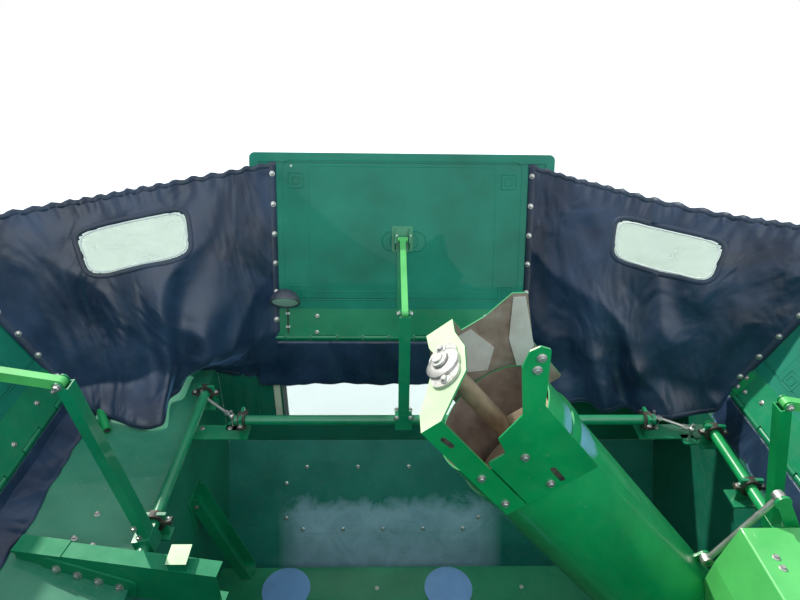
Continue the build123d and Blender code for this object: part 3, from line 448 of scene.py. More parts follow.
def thicken(piece, thickness):
    """Give a sheet its thickness, half of it to each side."""
    solid = piece.modifiers.new("thickness", "SOLIDIFY")
    solid.thickness = thickness
    solid.offset = 0.0
    return piece


def facing(point, normal):
    """Matrix with its Z along the normal, at the point."""
    return Matrix.Translation(point) @ Vector(normal).to_track_quat("Z", "Y").to_matrix().to_4x4()


def upright(matrix, place):
    """Frame for a plate that stands in a frame's XZ plane at a place."""
    return matrix @ Matrix.Translation(place) @ turned(90, "X")


def looped(items):
    """A list with its first item again at its end."""
    return items + items[:1]


def skin(bm, rows, keep=None):
    """Faces between neighbouring rows of vertices, where keep says so."""
    for j in range(len(rows) - 1):
        for i in range(len(rows[j]) - 1):
            if keep is None or keep(i, j):
                bm.faces.new([rows[j][i], rows[j][i + 1], rows[j + 1][i + 1], rows[j + 1][i]])


def lathe(bm, matrix, profile, steps=20, material=0):
    """Turned form from (radius, height) pairs, closed where the radius is nought."""
    rings = []
    for radius, height in profile:
        ring = []
        for i in range(steps if radius > 0 else 1):
            a = 2 * math.pi * i / steps
            place = Vector((radius * math.cos(a), radius * math.sin(a), height))
            ring.append(bm.verts.new(matrix @ place))
        rings.append(ring)
    for low, high in zip(rings, rings[1:]):
        for i in range(steps):
            j = (i + 1) % steps
            corners = [low[i % len(low)], low[j % len(low)], high[j % len(high)], high[i % len(high)]]
            corners = list(dict.fromkeys(corners))
            if len(corners) > 2:
                face = bm.faces.new(corners)
                face.material_index = material


# Bolt heads of size one, each as turned forms: (radius, height) pairs and the steps of their turn
HEX_HEAD = [
    ([(0, 0), (1.15, 0), (1.15, 0.16), (0.9, 0.3), (0, 0.3)], 18),
    ([(0.78, 0.28), (0.78, 0.78), (0.6708, 0.92), (0, 0.92)], 6),
]
ROUND_HEAD = [([(0, 0), (1.3, 0), (1.3, 0.14), (0.95, 0.18), (0.9, 0.42), (0.55, 0.66), (0, 0.72)], 14)]


def heads(name, body, kind, size, places):
    """One piece with a bolt head at each (point, normal)."""
    bm = bmesh.new()
    for point, normal in places:
        for profile, steps in kind:
            lathe(bm, facing(point, normal), [(radius * size, up * size) for radius, up in profile], steps)
    return finish_mesh(name, bm, ZINC, body, 30)


TREES = {}


def surface(node):
    """Search tree of a CAD node's faces."""
    if node not in TREES:
        mesh = frame["nodes"][node].data
        corners = [v.co.copy() for v in mesh.vertices]
        TREES[node] = BVHTree.FromPolygons(corners, [tuple(face.vertices) for face in mesh.polygons])
    return TREES[node]


# A bolt's seat is searched for from this far outside its place, over this length
SEAT_START = 0.06
SEAT_REACH = 0.14


def seat(node, point, way):
    """Point of a node's surface met on the way in from one side, and its normal; None if there is none."""
    way = Vector(way).normalized()
    at, normal = surface(node).ray_cast(Vector(point) + way * SEAT_START, -way, SEAT_REACH)[:2]
    if at is None:
        return None
    return at, normal if normal.dot(way) > 0 else -normal


def on_the_way(value, share):
    """A number, or the place at a share of the way between two numbers."""
    first, last = value if isinstance(value, tuple) else (value, value)
    return first + (last - first) * share


def seated_rows(name, body, size, rows):
    """One piece with rows of bolt heads, each head seated on its node's surface."""
    places = []
    for node, x, y, z, count, way in rows:
        for k in range(count):
            point = [on_the_way(value, k / max(1, count - 1)) for value in (x, y, z)]
            places.append(seat(node, point, way))
    return heads(name, body, HEX_HEAD, size, [place for place in places if place])


def on_frame(matrix, points, normal):
    """Places in a frame turned into world points with one normal."""
    way = matrix.to_3x3() @ Vector(normal)
    return [(matrix @ Vector(p), way) for p in points]


def plate(bm, matrix, outline, thickness):
    """Flat plate from an outline in a frame's XY plane, thickened along its Z."""
    low = [bm.verts.new(matrix @ Vector((x, y, 0))) for x, y in outline]
    high = [bm.verts.new(matrix @ Vector((x, y, thickness))) for x, y in outline]
    bm.faces.new(low[::-1])
    bm.faces.new(high)
    skin(bm, [looped(low), looped(high)])


def box_between(bm, low, high):
    corners = [(low[0], low[1]), (high[0], low[1]), (high[0], high[1]), (low[0], high[1])]
    plate(bm, Matrix.Translation((0, 0, low[2])), corners, high[2] - low[2])


def round_box(width, height, radius, steps=6):
    """Outline of a rectangle with rounded corners, about its centre."""
    points = []
    for quarter, (sx, sy) in enumerate(((1, 1), (-1, 1), (-1, -1), (1, -1))):
        cx, cy = sx * (width / 2 - radius), sy * (height / 2 - radius)
        for i in range(steps + 1):
            a = math.pi / 2 * (quarter + i / steps)
            points.append((cx + radius * math.cos(a), cy + radius * math.sin(a)))
    return points


def moved(outline, x, y):
    return [(a + x, b + y) for a, b in outline]


def rod_between(bm, a, b, radius, steps=14):
    a, b = Vector(a), Vector(b)
    length = (b - a).length
    lathe(bm, facing(a, b - a), [(0, 0), (radius, 0), (radius, length), (0, length)], steps)


# Fabric corners

def spline(points, t):
    """Point at t from 0 to 1 on a smooth curve through points given as (t, point)."""
    if t <= points[0][0]:
        return Vector(points[0][1])
    for i in range(len(points) - 1):
        t0, t1 = points[i][0], points[i + 1][0]
        if t <= t1:
            s = (t - t0) / (t1 - t0)
            p1, p2 = Vector(points[i][1]), Vector(points[i + 1][1])
            p0 = Vector(points[i - 1][1]) if i else p1 * 2 - p2
            p3 = Vector(points[i + 2][1]) if i + 2 < len(points) else p2 * 2 - p1
            return 0.5 * ((2 * p1) + (p2 - p0) * s + (2 * p0 - 5 * p1 + 4 * p2 - p3) * s * s
                          + (3 * p1 - p0 - 3 * p2 + p3) * s * s * s)
    return Vector(points[-1][1])


# Hem of each corner's cloth from the end cover (0) to the side cover (1), drawn for x and y both positive
HEM_LEFT = [(0, (0.538, 0.984, 1.382)), (0.2, (0.74, 0.975, 1.388)), (0.38, (0.915, 0.885, 1.475)),
            (0.54, (0.945, 0.68, 1.48)), (0.68, (0.96, 0.51, 1.482)), (0.84, (1.13, 0.545, 1.525)),
            (1, (1.293, 0.612, 1.566))]
HEM_RIGHT = [(0, (0.538, 0.984, 1.382)), (0.15, (0.62, 0.88, 1.365)), (0.42, (0.854, 0.75, 1.4)),
             (0.72, (1.09, 0.62, 1.462)), (0.9, (1.235, 0.575, 1.52)), (1, (1.293, 0.612, 1.566))]
CLOTH_CLEAR = 0.0125
# Heights up the covers between which the cloth is held, and the share of it that hangs below them
CLOTH_LOW = 0.03
CLOTH_TOP = 0.765
HEM_SHARE = 0.24
CLOTH_COLUMNS = 84
CLOTH_ROWS = 72
# Depths of the cloth's belly, its folds, creases and tucks, and of the ruffles along its top edge
INWARD = Vector((-0.45, -0.89, 0))
BELLY = 0.07
FOLD = 0.03
CREASE = 0.042
TUCK = 0.008
RUFFLE = 0.014
RUFFLE_RISE = 0.006
RUFFLES = 21


def wander(x, y, z):
    """Smooth noise at a place."""
    return noise.noise(Vector((x, y, z)))


def held(up, u):
    """Point at u on the straight line between both covers, at one height up them."""
    end, side = math.radians(END_LEAN), math.radians(SIDE_LEAN)
    y = END_Y + up * math.sin(end) - CLOTH_CLEAR * math.cos(end)
    x = SIDE_X + up * math.sin(side) - CLOTH_CLEAR * math.cos(side)
    first = Vector((STRAP_X, y, HINGE_Z + up * math.cos(end)))
    return first.lerp(Vector((x, RIVET_Y, HINGE_Z + up * math.cos(side))), u)


class Corner:
    """One corner's cloth as a grid of points that other pieces are placed on."""

    def __init__(self, x_sign, y_sign, hem, seed, sag):
        self.sign = Vector((x_sign, y_sign, 1))
        self.hem = hem
        self.seed = seed
        self.sag = sag
        self.grid = [[self.rest(i / CLOTH_COLUMNS, j / CLOTH_ROWS) for i in range(CLOTH_COLUMNS + 1)]
                     for j in range(CLOTH_ROWS + 1)]

    def drawn(self, u, w, belly):
        """Point of the cloth without its folds: a hem below, a sagging belly above."""
        if w < HEM_SHARE:
            s = w / HEM_SHARE
            s2 = s * s * (3 - 2 * s)
            hem = spline(self.hem, u)
            waist = held(CLOTH_LOW, u) + INWARD * BELLY * belly
            point = hem.lerp(waist, s)
            point.x = hem.x + (waist.x - hem.x) * s2
            point.y = hem.y + (waist.y - hem.y) * s2
            return point
        s = (w - HEM_SHARE) / (1 - HEM_SHARE)
        point = held(CLOTH_LOW + s * (CLOTH_TOP - CLOTH_LOW), u)
        point += INWARD * belly * (BELLY * (1 - s) ** 1.5 + 0.03 * math.sin(math.pi * s))
        point.z -= self.sag * belly * s * s
        return point

    def rest(self, u, w):
        """Point of the cloth at u along and w up, with its sag and folds."""
        belly = math.sin(math.pi * u)
        point = self.drawn(u, w, belly)
        drape = (1 - w) ** 1.6 * belly
        wave = wander(u * 2.6 + self.seed, w * 1.1, self.seed)
        fold = math.sin(2 * math.pi * (u * 3.1 + 0.9 * w + 0.8 * wave + self.seed))
        point += INWARD * FOLD * drape * fold
        crease = abs(wander(u * 4.2 + w * 2.4, w * 2.2 - u * 1.4, self.seed + 5)) ** 0.7
        point -= INWARD * CREASE * crease * belly ** 0.5 * (0.45 + 0.55 * (1 - w))
        point += INWARD * TUCK * wander(u * 11.0 + w * 5.0, w * 3.0, self.seed + 9) * belly
        top = max(0.0, (w - 0.9) / 0.1)
        uneven = 0.6 + 0.8 * abs(wander(u * 9.0, 3.0, self.seed))
        turns = u * RUFFLES + 1.6 * wave
        ruffle = math.sin(2 * math.pi * turns) * math.sin(math.pi * min(1.0, u * 1.02))
        point += INWARD * RUFFLE * top * ruffle * uneven
        point.z += RUFFLE_RISE * top * uneven * math.sin(2 * math.pi * (turns + 0.25))
        return Vector((point.x * self.sign.x, point.y * self.sign.y, point.z))

    def at(self, u, w):
        """Point on the final cloth by bilinear reading of the grid."""
        x = min(max(u, 0.0), 1.0) * CLOTH_COLUMNS
        y = min(max(w, 0.0), 1.0) * CLOTH_ROWS
        i, j = min(int(x), CLOTH_COLUMNS - 1), min(int(y), CLOTH_ROWS - 1)
        low = self.grid[j][i].lerp(self.grid[j][i + 1], x - i)
        high = self.grid[j + 1][i].lerp(self.grid[j + 1][i + 1], x - i)
        return low.lerp(high, y - j)

    def normal(self, u, w):
        """Unit normal that looks into the tank."""
        e = 0.012
        across = self.at(u + e, w) - self.at(u - e, w)
        along = self.at(u, w + e) - self.at(u, w - e)
        n = across.cross(along).normalized()
        inward = Vector((-self.sign.x, -self.sign.y, 0))
        return n if n.dot(inward) > 0 else -n


# Window in each corner's cloth: centre u, centre w, half width, half height, roundness, all as shares
WINDOW = (0.492, 0.79, 0.168, 0.094, 0.4)
WINDOW_SLANT = 0.12


def window_point(a, grow=0.0):
    """Point (u, w) of the window's rounded outline at share a of its round."""
    cu, cw, hu, hw, power = WINDOW
    angle = 2 * math.pi * a
    c, s = math.cos(angle), math.sin(angle)
    u = cu + (hu + grow) * math.copysign(abs(c) ** power, c)
    w = cw + (hw + grow * 1.15) * math.copysign(abs(s) ** power, s)
    return u - (w - cw) * WINDOW_SLANT, w


def in_window(u, w):
    cu, cw, hu, hw, power = WINDOW
    x = (u + (w - cw) * WINDOW_SLANT - cu) / hu
    y = (w - cw) / hw
    return abs(x) ** (2 / power) + abs(y) ** (2 / power) < 1


def cloth_sheet(name, corner):
    """The cloth itself, with its window cut out."""
    bm = bmesh.new()
    verts = [[bm.verts.new(point) for point in row] for row in corner.grid]
    skin(bm, verts, lambda i, j: not in_window((i + 0.5) / CLOTH_COLUMNS, (j + 0.5) / CLOTH_ROWS))
    bmesh.ops.delete(bm, geom=[v for v in bm.verts if not v.link_faces], context="VERTS")
    return thicken(finish_mesh(name, bm, CLOTH, "tank", 80), 0.0016)


def ribbon(bm, corner, path, half, lift, closed=False):
    """Flat strip that follows (u, w) points on the cloth, a little proud of it."""
    count = len(path)
    rows = []
    for k, (u, w) in enumerate(path):
        before = path[k - 1] if k or closed else path[k]
        after = path[(k + 1) % count] if k + 1 < count or closed else path[k]
        tangent = corner.at(*after) - corner.at(*before)
        normal = corner.normal(u, w)
        side = tangent.cross(normal).normalized() * half
        centre = corner.at(u, w)
        rows.append([bm.verts.new(centre + side * s + normal * h) for s, h in
                     ((-1, 0.0), (-0.8, lift), (0.8, lift), (1, 0.0), (0.8, -lift), (-0.8, -lift))])
    skin(bm, [looped(row) for row in (looped(rows) if closed else rows)])
    if not closed:
        bm.faces.new(rows[0][::-1])
        bm.faces.new(rows[-1])


def window_pane(name, corner):
    """Clear sheet sewn into the cloth, built as rings towards its centre."""
    bm = bmesh.new()
    steps, rings = 64, 10
    cu, cw = WINDOW[:2]
    grid = []
    for r in range(rings):
        share = 1.04 * (1 - r / rings)
        ring = []
        for k in range(steps):
            u, w = window_point(k / steps)
            ring.append(bm.verts.new(corner.at(cu + (u - cu) * share, cw + (w - cw) * share)))
        grid.append(looped(ring))
    centre = bm.verts.new(corner.at(cu, cw))
    skin(bm, grid)
    for k in range(steps):
        bm.faces.new([grid[-1][k], grid[-1][k + 1], centre])
    return thicken(finish_mesh(name, bm, VINYL, "tank", 80), 0.0008)


def cloth_trim(name, corner):
    """Bindings on the window, hem and top edge and up both sides."""
    bm = bmesh.new()
    window = [window_point(k / 72, 0.006) for k in range(72)]
    ribbon(bm, corner, window, 0.0105, 0.002, True)
    ribbon(bm, corner, [(k / 90, 0.012) for k in range(91)], 0.01, 0.0018)
    ribbon(bm, corner, [(k / 160, 0.988) for k in range(161)], 0.01, 0.002)
    for column in (0.013, 0.987):
        path = [(column, HEM_SHARE + (0.985 - HEM_SHARE) * k / 40) for k in range(41)]
        ribbon(bm, corner, path, 0.014, 0.0028)
    return finish_mesh(name, bm, CLOTH_EDGE, "tank", 80)


def window_weld(name, corner):
    """Pale welded edge of the clear sheet, just inside its binding."""
    bm = bmesh.new()
    ribbon(bm, corner, [window_point(k / 72, -0.008) for k in range(72)], 0.003, 0.0024, True)
    return finish_mesh(name, bm, WHITE, "tank", 80)


def screw_places(corner):
    """Screws up both edges of the cloth, six or seven a side."""
    places = []
    first = HEM_SHARE + 0.06
    for u, count in ((0.013, 6), (0.978, 7)):
        for k in range(count):
            w = first + (0.95 - first) * k / (count - 1)
            n = corner.normal(u, w)
            places.append((corner.at(u, w) + n * 0.002, n))
    return places


# x side, y side, hem, seed of its folds, sag of its top edge
CORNERS = {
    "front_left": (-1, 1, HEM_LEFT, 0.31, 0.004),
    "front_right": (1, 1, HEM_RIGHT, 1.87, 0.036),
    "rear_left": (-1, -1, HEM_RIGHT, 2.63, 0.03),
    "rear_right": (1, -1, HEM_RIGHT, 3.41, 0.03),
}


def fabric_corners():
    for name, row in CORNERS.items():
        corner = Corner(*row)
        sheet = cloth_sheet(f"cloth_{name}", corner)
        pane = window_pane(f"cloth_window_{name}", corner)
        trim = cloth_trim(f"cloth_trim_{name}", corner)
        weld = window_weld(f"cloth_weld_{name}", corner)
        screws = heads(f"cloth_screws_{name}", "tank", ROUND_HEAD, 0.0088, screw_places(corner))
        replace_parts(sheet, f"fabric_{name}")
        for piece in (sheet, pane, trim, weld, screws):
            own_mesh(piece)


FLAP_COLUMNS = 120
FLAP_ROWS = 14
FOOT_ROWS = 5
FOOT_STEP = 0.018
SHELF_ABOVE = 1.8
SHELF_CLEAR = 0.004


def flaps():
    """Rubberised cloth flaps under the covers' hinges, hanging in loose waves."""
    for name in SIDES:
        node = f"{name}_flap"
        low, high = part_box(node)
        along = 0 if name in ("front", "rear") else 1
        out = 1 - along
        sign = 1 if name in ("front", "right") else -1
        face = high[out] if sign > 0 else low[out]
        drop = high.z - low.z
        bm = bmesh.new()
        verts = []
        for j in range(FLAP_ROWS + 1):
            t = j / FLAP_ROWS
            row = []
            for i in range(FLAP_COLUMNS + 1):
                at = low[along] + i / FLAP_COLUMNS * (high[along] - low[along])
                wave = wander(at * 5.5, t * 0.7, len(name)) + 0.35 * wander(at * 17, t, 3)
                point = Vector((0, 0, high.z - t * (drop + 0.01 * wave * t)))
                point[along] = at
                point[out] = face - sign * (0.0015 + 0.016 * t * (1 + wave))
                row.append(bm.verts.new(point))
            verts.append(row)
        if name == "left":
            add_foot(bm, verts)
        skin(bm, verts)
        piece = finish_mesh(f"{name}_cloth_flap", bm, CLOTH, "tank", 80)
        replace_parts(thicken(piece, 0.002), node)


def shelf_height(tree, x, y, other):
    """Height just above the left shelf at a place, or the other height where there is none."""
    hit = tree.ray_cast(Vector((x, y, SHELF_ABOVE)), Vector((0, 0, -1)))[0]
    return hit.z + SHELF_CLEAR if hit else other


def add_foot(bm, rows):
    """Add the rows of the left flap's end, which lies out on the sloping shelf."""
    shelf = surface("left_wall")
    edge = rows[-1]
    for row in rows:
        for v in row:
            v.co.z = max(v.co.z, shelf_height(shelf, v.co.x, v.co.y, v.co.z))
    for k in range(1, FOOT_ROWS + 1):
        row = []
        for v in edge:
            x = v.co.x + FOOT_STEP * k + 0.004 * wander(v.co.y * 6, k, 1)
            row.append(bm.verts.new((x, v.co.y, shelf_height(shelf, x, v.co.y, v.co.z))))
        rows.append(row)


# Fittings

UP = (0, 0, 1)
NEAR = (0, -1, 0)
FAR = (0, 1, 0)
LEFT = (-1, 0, 0)
RIGHT = (1, 0, 0)
SLOPE_OUT = (0, -0.87, 0.5)
COVER_IN = (0, -0.94, 0.35)
BOLT = 0.0085

# Rows of bolts: node, x, y and z with (from, to) where they change, count, side they are seen from
TANK_BOLTS = [
    ("access_cover", (-0.475, 0.32), 0.776, 0.602, 5, SLOPE_OUT),
    ("access_cover", (-0.456, 0.3), 0.93, 0.872, 4, SLOPE_OUT),
    ("access_cover", -0.557, (0.805, 0.892), (0.65, 0.8), 2, SLOPE_OUT),
    ("access_cover", 0.398, (0.805, 0.892), (0.65, 0.8), 2, SLOPE_OUT),
    ("front_auger_cover", (-0.105, 0.566), 0.49, 0.55, 2, UP),
    ("rear_auger_cover", (-0.105, 0.566), -0.49, 0.55, 2, UP),
    ("left_wall", (-1.052, -0.87), (0.03, -0.02), (1.49, 1.45), 4, UP),
    ("left_wall", -1.022, 0.13, 1.48, 1, UP),
    ("brackets_left", (-0.8, -0.69), 0.585, 1.44, 2, UP),
    ("brackets_left", -0.81, (0.715, 0.755), 1.44, 2, UP),
    ("brackets_left", -0.82, (0.07, 0.1), 1.44, 2, UP),
    ("brackets_left", (-0.8, -0.69), -0.585, 1.44, 2, UP),
    ("brackets_right", (1.03, 1.24), 0.585, 1.44, 3, UP),
    ("brackets_right", 1.255, (0.483, 0.507), 1.44, 2, UP),
    ("brackets_right", 1.255, (0.2, 0.24), 1.44, 2, UP),
    ("brackets_right", (1.03, 1.24), -0.585, 1.44, 3, UP),
    ("sample_chute", -0.82, 0.4, 1.17, 1, NEAR),
    ("front_wall", (-0.72, 1.2), 1.005, 1.5, 9, FAR),
    ("rear_wall", (-0.72, 1.2), -1.005, 1.5, 9, NEAR),
    ("right_wall", 1.31, (-0.9, 0.9), 1.5, 9, RIGHT),
    ("right_wall", 1.31, (-0.9, 0.9), 0.9, 5, RIGHT),
    ("base_rails", -0.79, (-0.55, 0.55), 0.06, 4, LEFT),
    ("base_rails", 0.79, (-0.55, 0.55), 0.06, 4, RIGHT),
]
BRACE_BOLTS = [("left_brace", (-1.049, -0.863), (-0.083, -0.109), (1.5, 1.45), 4, (-0.15, -1, 0))]
PIVOT_BOLTS = [
    ("left_shaft", -0.921, 0.0, 2.12, 1, NEAR),
    ("right_shaft", 1.065, 0.02, 2.015, 1, NEAR),
    ("front_shaft", -0.02, 0.664, 1.932, 1, LEFT),
    ("front_shaft", 0.02, 0.664, 1.932, 1, RIGHT),
]
COVER_BOLTS = [
    ("front_cover_strip", (-0.372, 0.372), 1.023, 1.695, 3, COVER_IN),
    ("front_cover_strip", (-0.374, 0.374), 0.999, 1.626, 2, COVER_IN),
]
CRANK_BOLTS = [
    ("left_shaft", (-0.833, -0.826), -0.01, (1.578, 1.537), 2, NEAR),
    ("front_shaft", (-0.027, 0.027), 0.592, 1.529, 2, (0, 0.2, 1)),
    ("front_shaft", (-0.027, 0.027), 0.545, 1.529, 2, (0, -1, 0.3)),
]
BOX_BOLTS = [
    ("auger_drive_box", 0.945, (-0.26, -0.292), 1.761, 2, UP),
    ("auger_drive_box", (1.032, 0.965), (-0.255, -0.355), 1.761, 2, UP),
    ("auger_drive_box", (0.905, 1.06), -0.38, 1.56, 3, NEAR),
]
# Bolts on the mouth's near cheek, across and along the auger
CHEEK_BOLTS = [(0.227, 1.704), (0.204, 1.684), (0.052, 1.493), (0.053, 1.385), (-0.062, 1.501),
               (-0.066, 1.396)]
CHEEK_FACE = -0.1712
# Slots in the near cheek, drawn as black plates of painted shade: centre across and along the auger, turn,
# length
CHEEK_SLOTS = [((0.0815, 1.4), 0.0, 0.052), ((-0.057, 1.64), 0.1, 0.04)]
# Wear plates on the far cheek's inner face, across and along the auger
WEAR_FACE = 0.1655
WEAR_PLATES = {
    "wear_plate_outer": [(0.2, 1.658), (0.226, 1.64), (0.162, 1.5), (0.082, 1.452), (0.122, 1.56)],
    "wear_plate_inner": [(-0.05, 1.655), (0.06, 1.648), (0.075, 1.56), (0.02, 1.51), (-0.06, 1.56)],
}
# Bearing at the auger's upper end: place along the auger, and its turned form
FLANGE_UP = 1.6985
FLANGE_THICK = 0.01
HUB = [(0.0455, 0.0), (0.0455, 0.017), (0.036, 0.0215), (0.024, 0.0215), (0.024, 0.018), (0.0215, 0.018),
       (0.0215, 0.03), (0.014, 0.031), (0.0135, 0.036), (0, 0.036)]
# Bolts on the side covers' strips: place along the hinge, height up the strip
SIDE_STRIP_BOLTS = [(-0.555, 0.045), (-0.382, 0.05), (-0.195, 0.068), (0.0, 0.05), (0.195, 0.068),
                    (0.281, 0.045), (0.47, 0.068), (0.56, 0.045)]
# Plates at both ends of each cover's strip
END_PLATE_X = 0.6
END_PLATE_THICK = 0.003
# Axis, x and y of each shaft's bearing
BEARINGS = [(FAR, LEFT_SHAFT_X, 0.085), (FAR, LEFT_SHAFT_X, 0.735), (FAR, RIGHT_SHAFT_X, 0.495),
            (FAR, RIGHT_SHAFT_X, 0.22)]
BEARINGS += [(RIGHT, x, y) for y in (END_SHAFT_Y, -END_SHAFT_Y) for x in (-0.63, 0.965)]
BEARING_R = 0.036
BEARING_BORE = 0.0225
BEARING_HALF = 0.013
CORNER_RODS = [
    (Vector((-0.823, 0.715, 1.5)), Vector((-0.68, 0.6, 1.49))),
    (Vector((1.01, 0.6, 1.49)), Vector((1.135, 0.52, 1.49))),
]
BALL_R = 0.013
# Beads on a cover's inner face: width, height, corner radius, place along, height up, half width, lift
PANEL_MIDDLE = (STRIP_TOP + COVER_H) / 2
COVER_BEADS = [
    (1.02, 0.6, 0.03, 0, PANEL_MIDDLE + 0.005, 0.003, 0.0016),
    (0.8, 0.54, 0.02, 0, PANEL_MIDDLE + 0.01, 0.0025, 0.0012),
    (0.19, 0.085, 0.042, 0.008, 0.43, 0.004, 0.003),
    (0.12, 0.06, 0.025, 0.008, 0.43, 0.003, 0.0022),
]
# Work lamp: centre of its lens, how far it looks down, its stub's foot, and its cable's place
LAMP_AT = (-0.495, 0.958, 1.808)
LAMP_TILT = 40
STUB_AT = (-0.495, 0.982, 1.815)
CABLE_X = -0.5
# Ribs beside the front wall's window
WALL_RIBS = (-0.78, -0.725, -0.67, 0.42, 0.56, 0.7, 0.84)
# Outer walls' pressed swages: wall's distance, turn about Z, places along it, height, middle
OUTER_SWAGES = [
    (1.0052, 0, (-0.68, 0.46, 0.68, 0.9, 1.12), 0.36, 1.25),
    (1.0052, 180, (-1.12, -0.8, -0.48, -0.16, 0.16, 0.48), 0.36, 1.25),
    (1.3102, -90, (-0.75, -0.45, -0.15, 0.15, 0.45, 0.75), 0.52, 1.16),
]


def outline_bead(bm, matrix, outline, half, lift, face=COVER_FACE, way=-1):
    """Raised bead along a closed outline in a frame's XZ plane, proud of a face on one side."""
    count = len(outline)
    rings = []
    for k in range(count):
        a, b, c = Vector(outline[k - 1]), Vector(outline[k]), Vector(outline[(k + 1) % count])
        side = (c - a).normalized()
        side = Vector((side.y, -side.x))
        ring = []
        for share, rise in ((-1, 0.0), (-0.5, lift), (0.5, lift), (1, 0.0)):
            p = b + side * half * share
            ring.append(bm.verts.new(matrix @ Vector((p.x, face + way * (rise - 0.0005), p.y))))
        rings.append(ring)
    skin(bm, looped(rings))


def cover_beads():
    """Stiffening beads moulded into the covers' inner faces, and swages in their outer ones."""
    for side in SIDES:
        matrix = hinge_frame(side)
        bm = bmesh.new()
        for width, height, radius, x, z, half, lift in COVER_BEADS:
            outline_bead(bm, matrix, moved(round_box(width, height, radius), x, z), half, lift)
        for x in (-0.315, 0.0, 0.315):
            swage = moved(round_box(0.25, 0.56, 0.035), x, PANEL_MIDDLE - 0.03)
            outline_bead(bm, matrix, swage, 0.006, 0.0035, COVER_BACK, 1)
        for x in (-0.455, 0.455):
            for z in (0.2, 0.685):
                outline_bead(bm, matrix, moved(round_box(0.062, 0.062, 0.006, 2), x, z), 0.003, 0.0022)
                outline_bead(bm, matrix, moved(round_box(0.03, 0.03, 0.004, 2), x, z), 0.0025, 0.0022)
        finish_mesh(f"{side}_cover_beads", bm, MOULDED, f"{side}_cover", 60)


def cover_fittings():
    """Bolts, end plates and screws of the covers, and a tie on the front one."""
    seated_rows("front_cover_bolts", "front_cover", BOLT, COVER_BOLTS)
    small = on_frame(hinge_frame("front"), [(-0.026, -0.016, 0.452), (0.034, -0.016, 0.452)], NEAR)
    heads("front_bracket_bolts", "front_cover", HEX_HEAD, 0.006, small)
    for side, way in (("left", 1), ("right", -1)):
        points = [(x * way, STRIP_FACE, up) for x, up in SIDE_STRIP_BOLTS]
        places = on_frame(hinge_frame(side), points, NEAR)
        heads(f"{side}_strip_bolts", f"{side}_cover", HEX_HEAD, BOLT, places)
    for side in SIDES:
        cover = f"{side}_cover"
        matrix = hinge_frame(side)
        bm = bmesh.new()
        for x in (-END_PLATE_X, END_PLATE_X):
            outline = moved(round_box(0.05, 0.105, 0.01), x, 0.062)
            plate(bm, upright(matrix, (0, STRIP_FACE, 0)), outline, END_PLATE_THICK)
        # The end plates take the painted sunlit green
        finish_mesh(f"{side}_end_plates", bm, PAINT_PAINTED_LIGHT, cover)
        face = STRIP_FACE - END_PLATE_THICK
        points = [(x, face, up) for x in (-END_PLATE_X, END_PLATE_X) for up in (0.038, 0.086)]
        heads(f"{side}_end_bolts", cover, ROUND_HEAD, 0.0075, on_frame(matrix, points, NEAR))
        outside = [(-0.58 + 0.29 * k, COVER_BACK, up) for k in range(5) for up in (0.055, 0.745)]
        heads(f"{side}_cover_screws", cover, ROUND_HEAD, 0.006, on_frame(matrix, outside, FAR))
    bm = bmesh.new()
    rod_between(bm, (-0.52, 1.262, 2.296), (-0.447, 1.262, 2.298), 0.0045)
    rod_between(bm, (-0.478, 1.262, 2.297), (-0.47, 1.262, 2.297), 0.0075)
    finish_mesh("cable_tie", bm, WHITE, "front_cover")


def work_lamp():
    """Domed shade with its lens looking down into the tank, on a stub bolted to the cover's strip."""
    tilt = math.radians(LAMP_TILT)
    place = facing(LAMP_AT, (0, math.cos(tilt), math.sin(tilt)))
    bm = bmesh.new()
    shade = [(0, 0.002), (0.056, 0.002), (0.056, -0.006), (0.0625, -0.007), (0.063, 0.0), (0.0605, 0.01),
             (0.054, 0.024), (0.043, 0.037), (0.029, 0.047), (0.014, 0.053), (0, 0.055)]
    lathe(bm, place, shade, 32)
    stub = [(0, 0), (0.009, 0), (0.009, 0.055), (0.016, 0.058), (0.016, 0.064), (0, 0.064)]
    lathe(bm, facing(STUB_AT, (0, 0.98, -0.2)), stub, 16)
    lens = [(0, 0.0005), (0.055, 0.0005), (0.055, -0.0035), (0.035, -0.0055), (0, -0.0062)]
    lathe(bm, place, lens, 32, 1)
    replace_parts(finish_mesh("work_lamp", bm, [LAMP_SHELL, LAMP_LENS], "front_cover"), "lamp")
    matrix = hinge_frame("front")
    bm = bmesh.new()
    run = [matrix @ Vector((CABLE_X, STRIP_FACE - 0.004, up)) for up in (0.215, 0.15, 0.085, 0.022)]
    for a, b in zip(run, run[1:]):
        rod_between(bm, a, b, 0.0032, 10)
    finish_mesh("lamp_cable", bm, RUBBER_AND_HOLE_SHADE, "front_cover")
    bm = bmesh.new()
    half = Vector((0.009, 0.004, 0.004))
    for up in (0.175, 0.11, 0.05):
        at = matrix @ Vector((CABLE_X, STRIP_FACE - 0.0035, up))
        box_between(bm, at - half, at + half)
    finish_mesh("lamp_cable_clips", bm, WHITE, "front_cover")


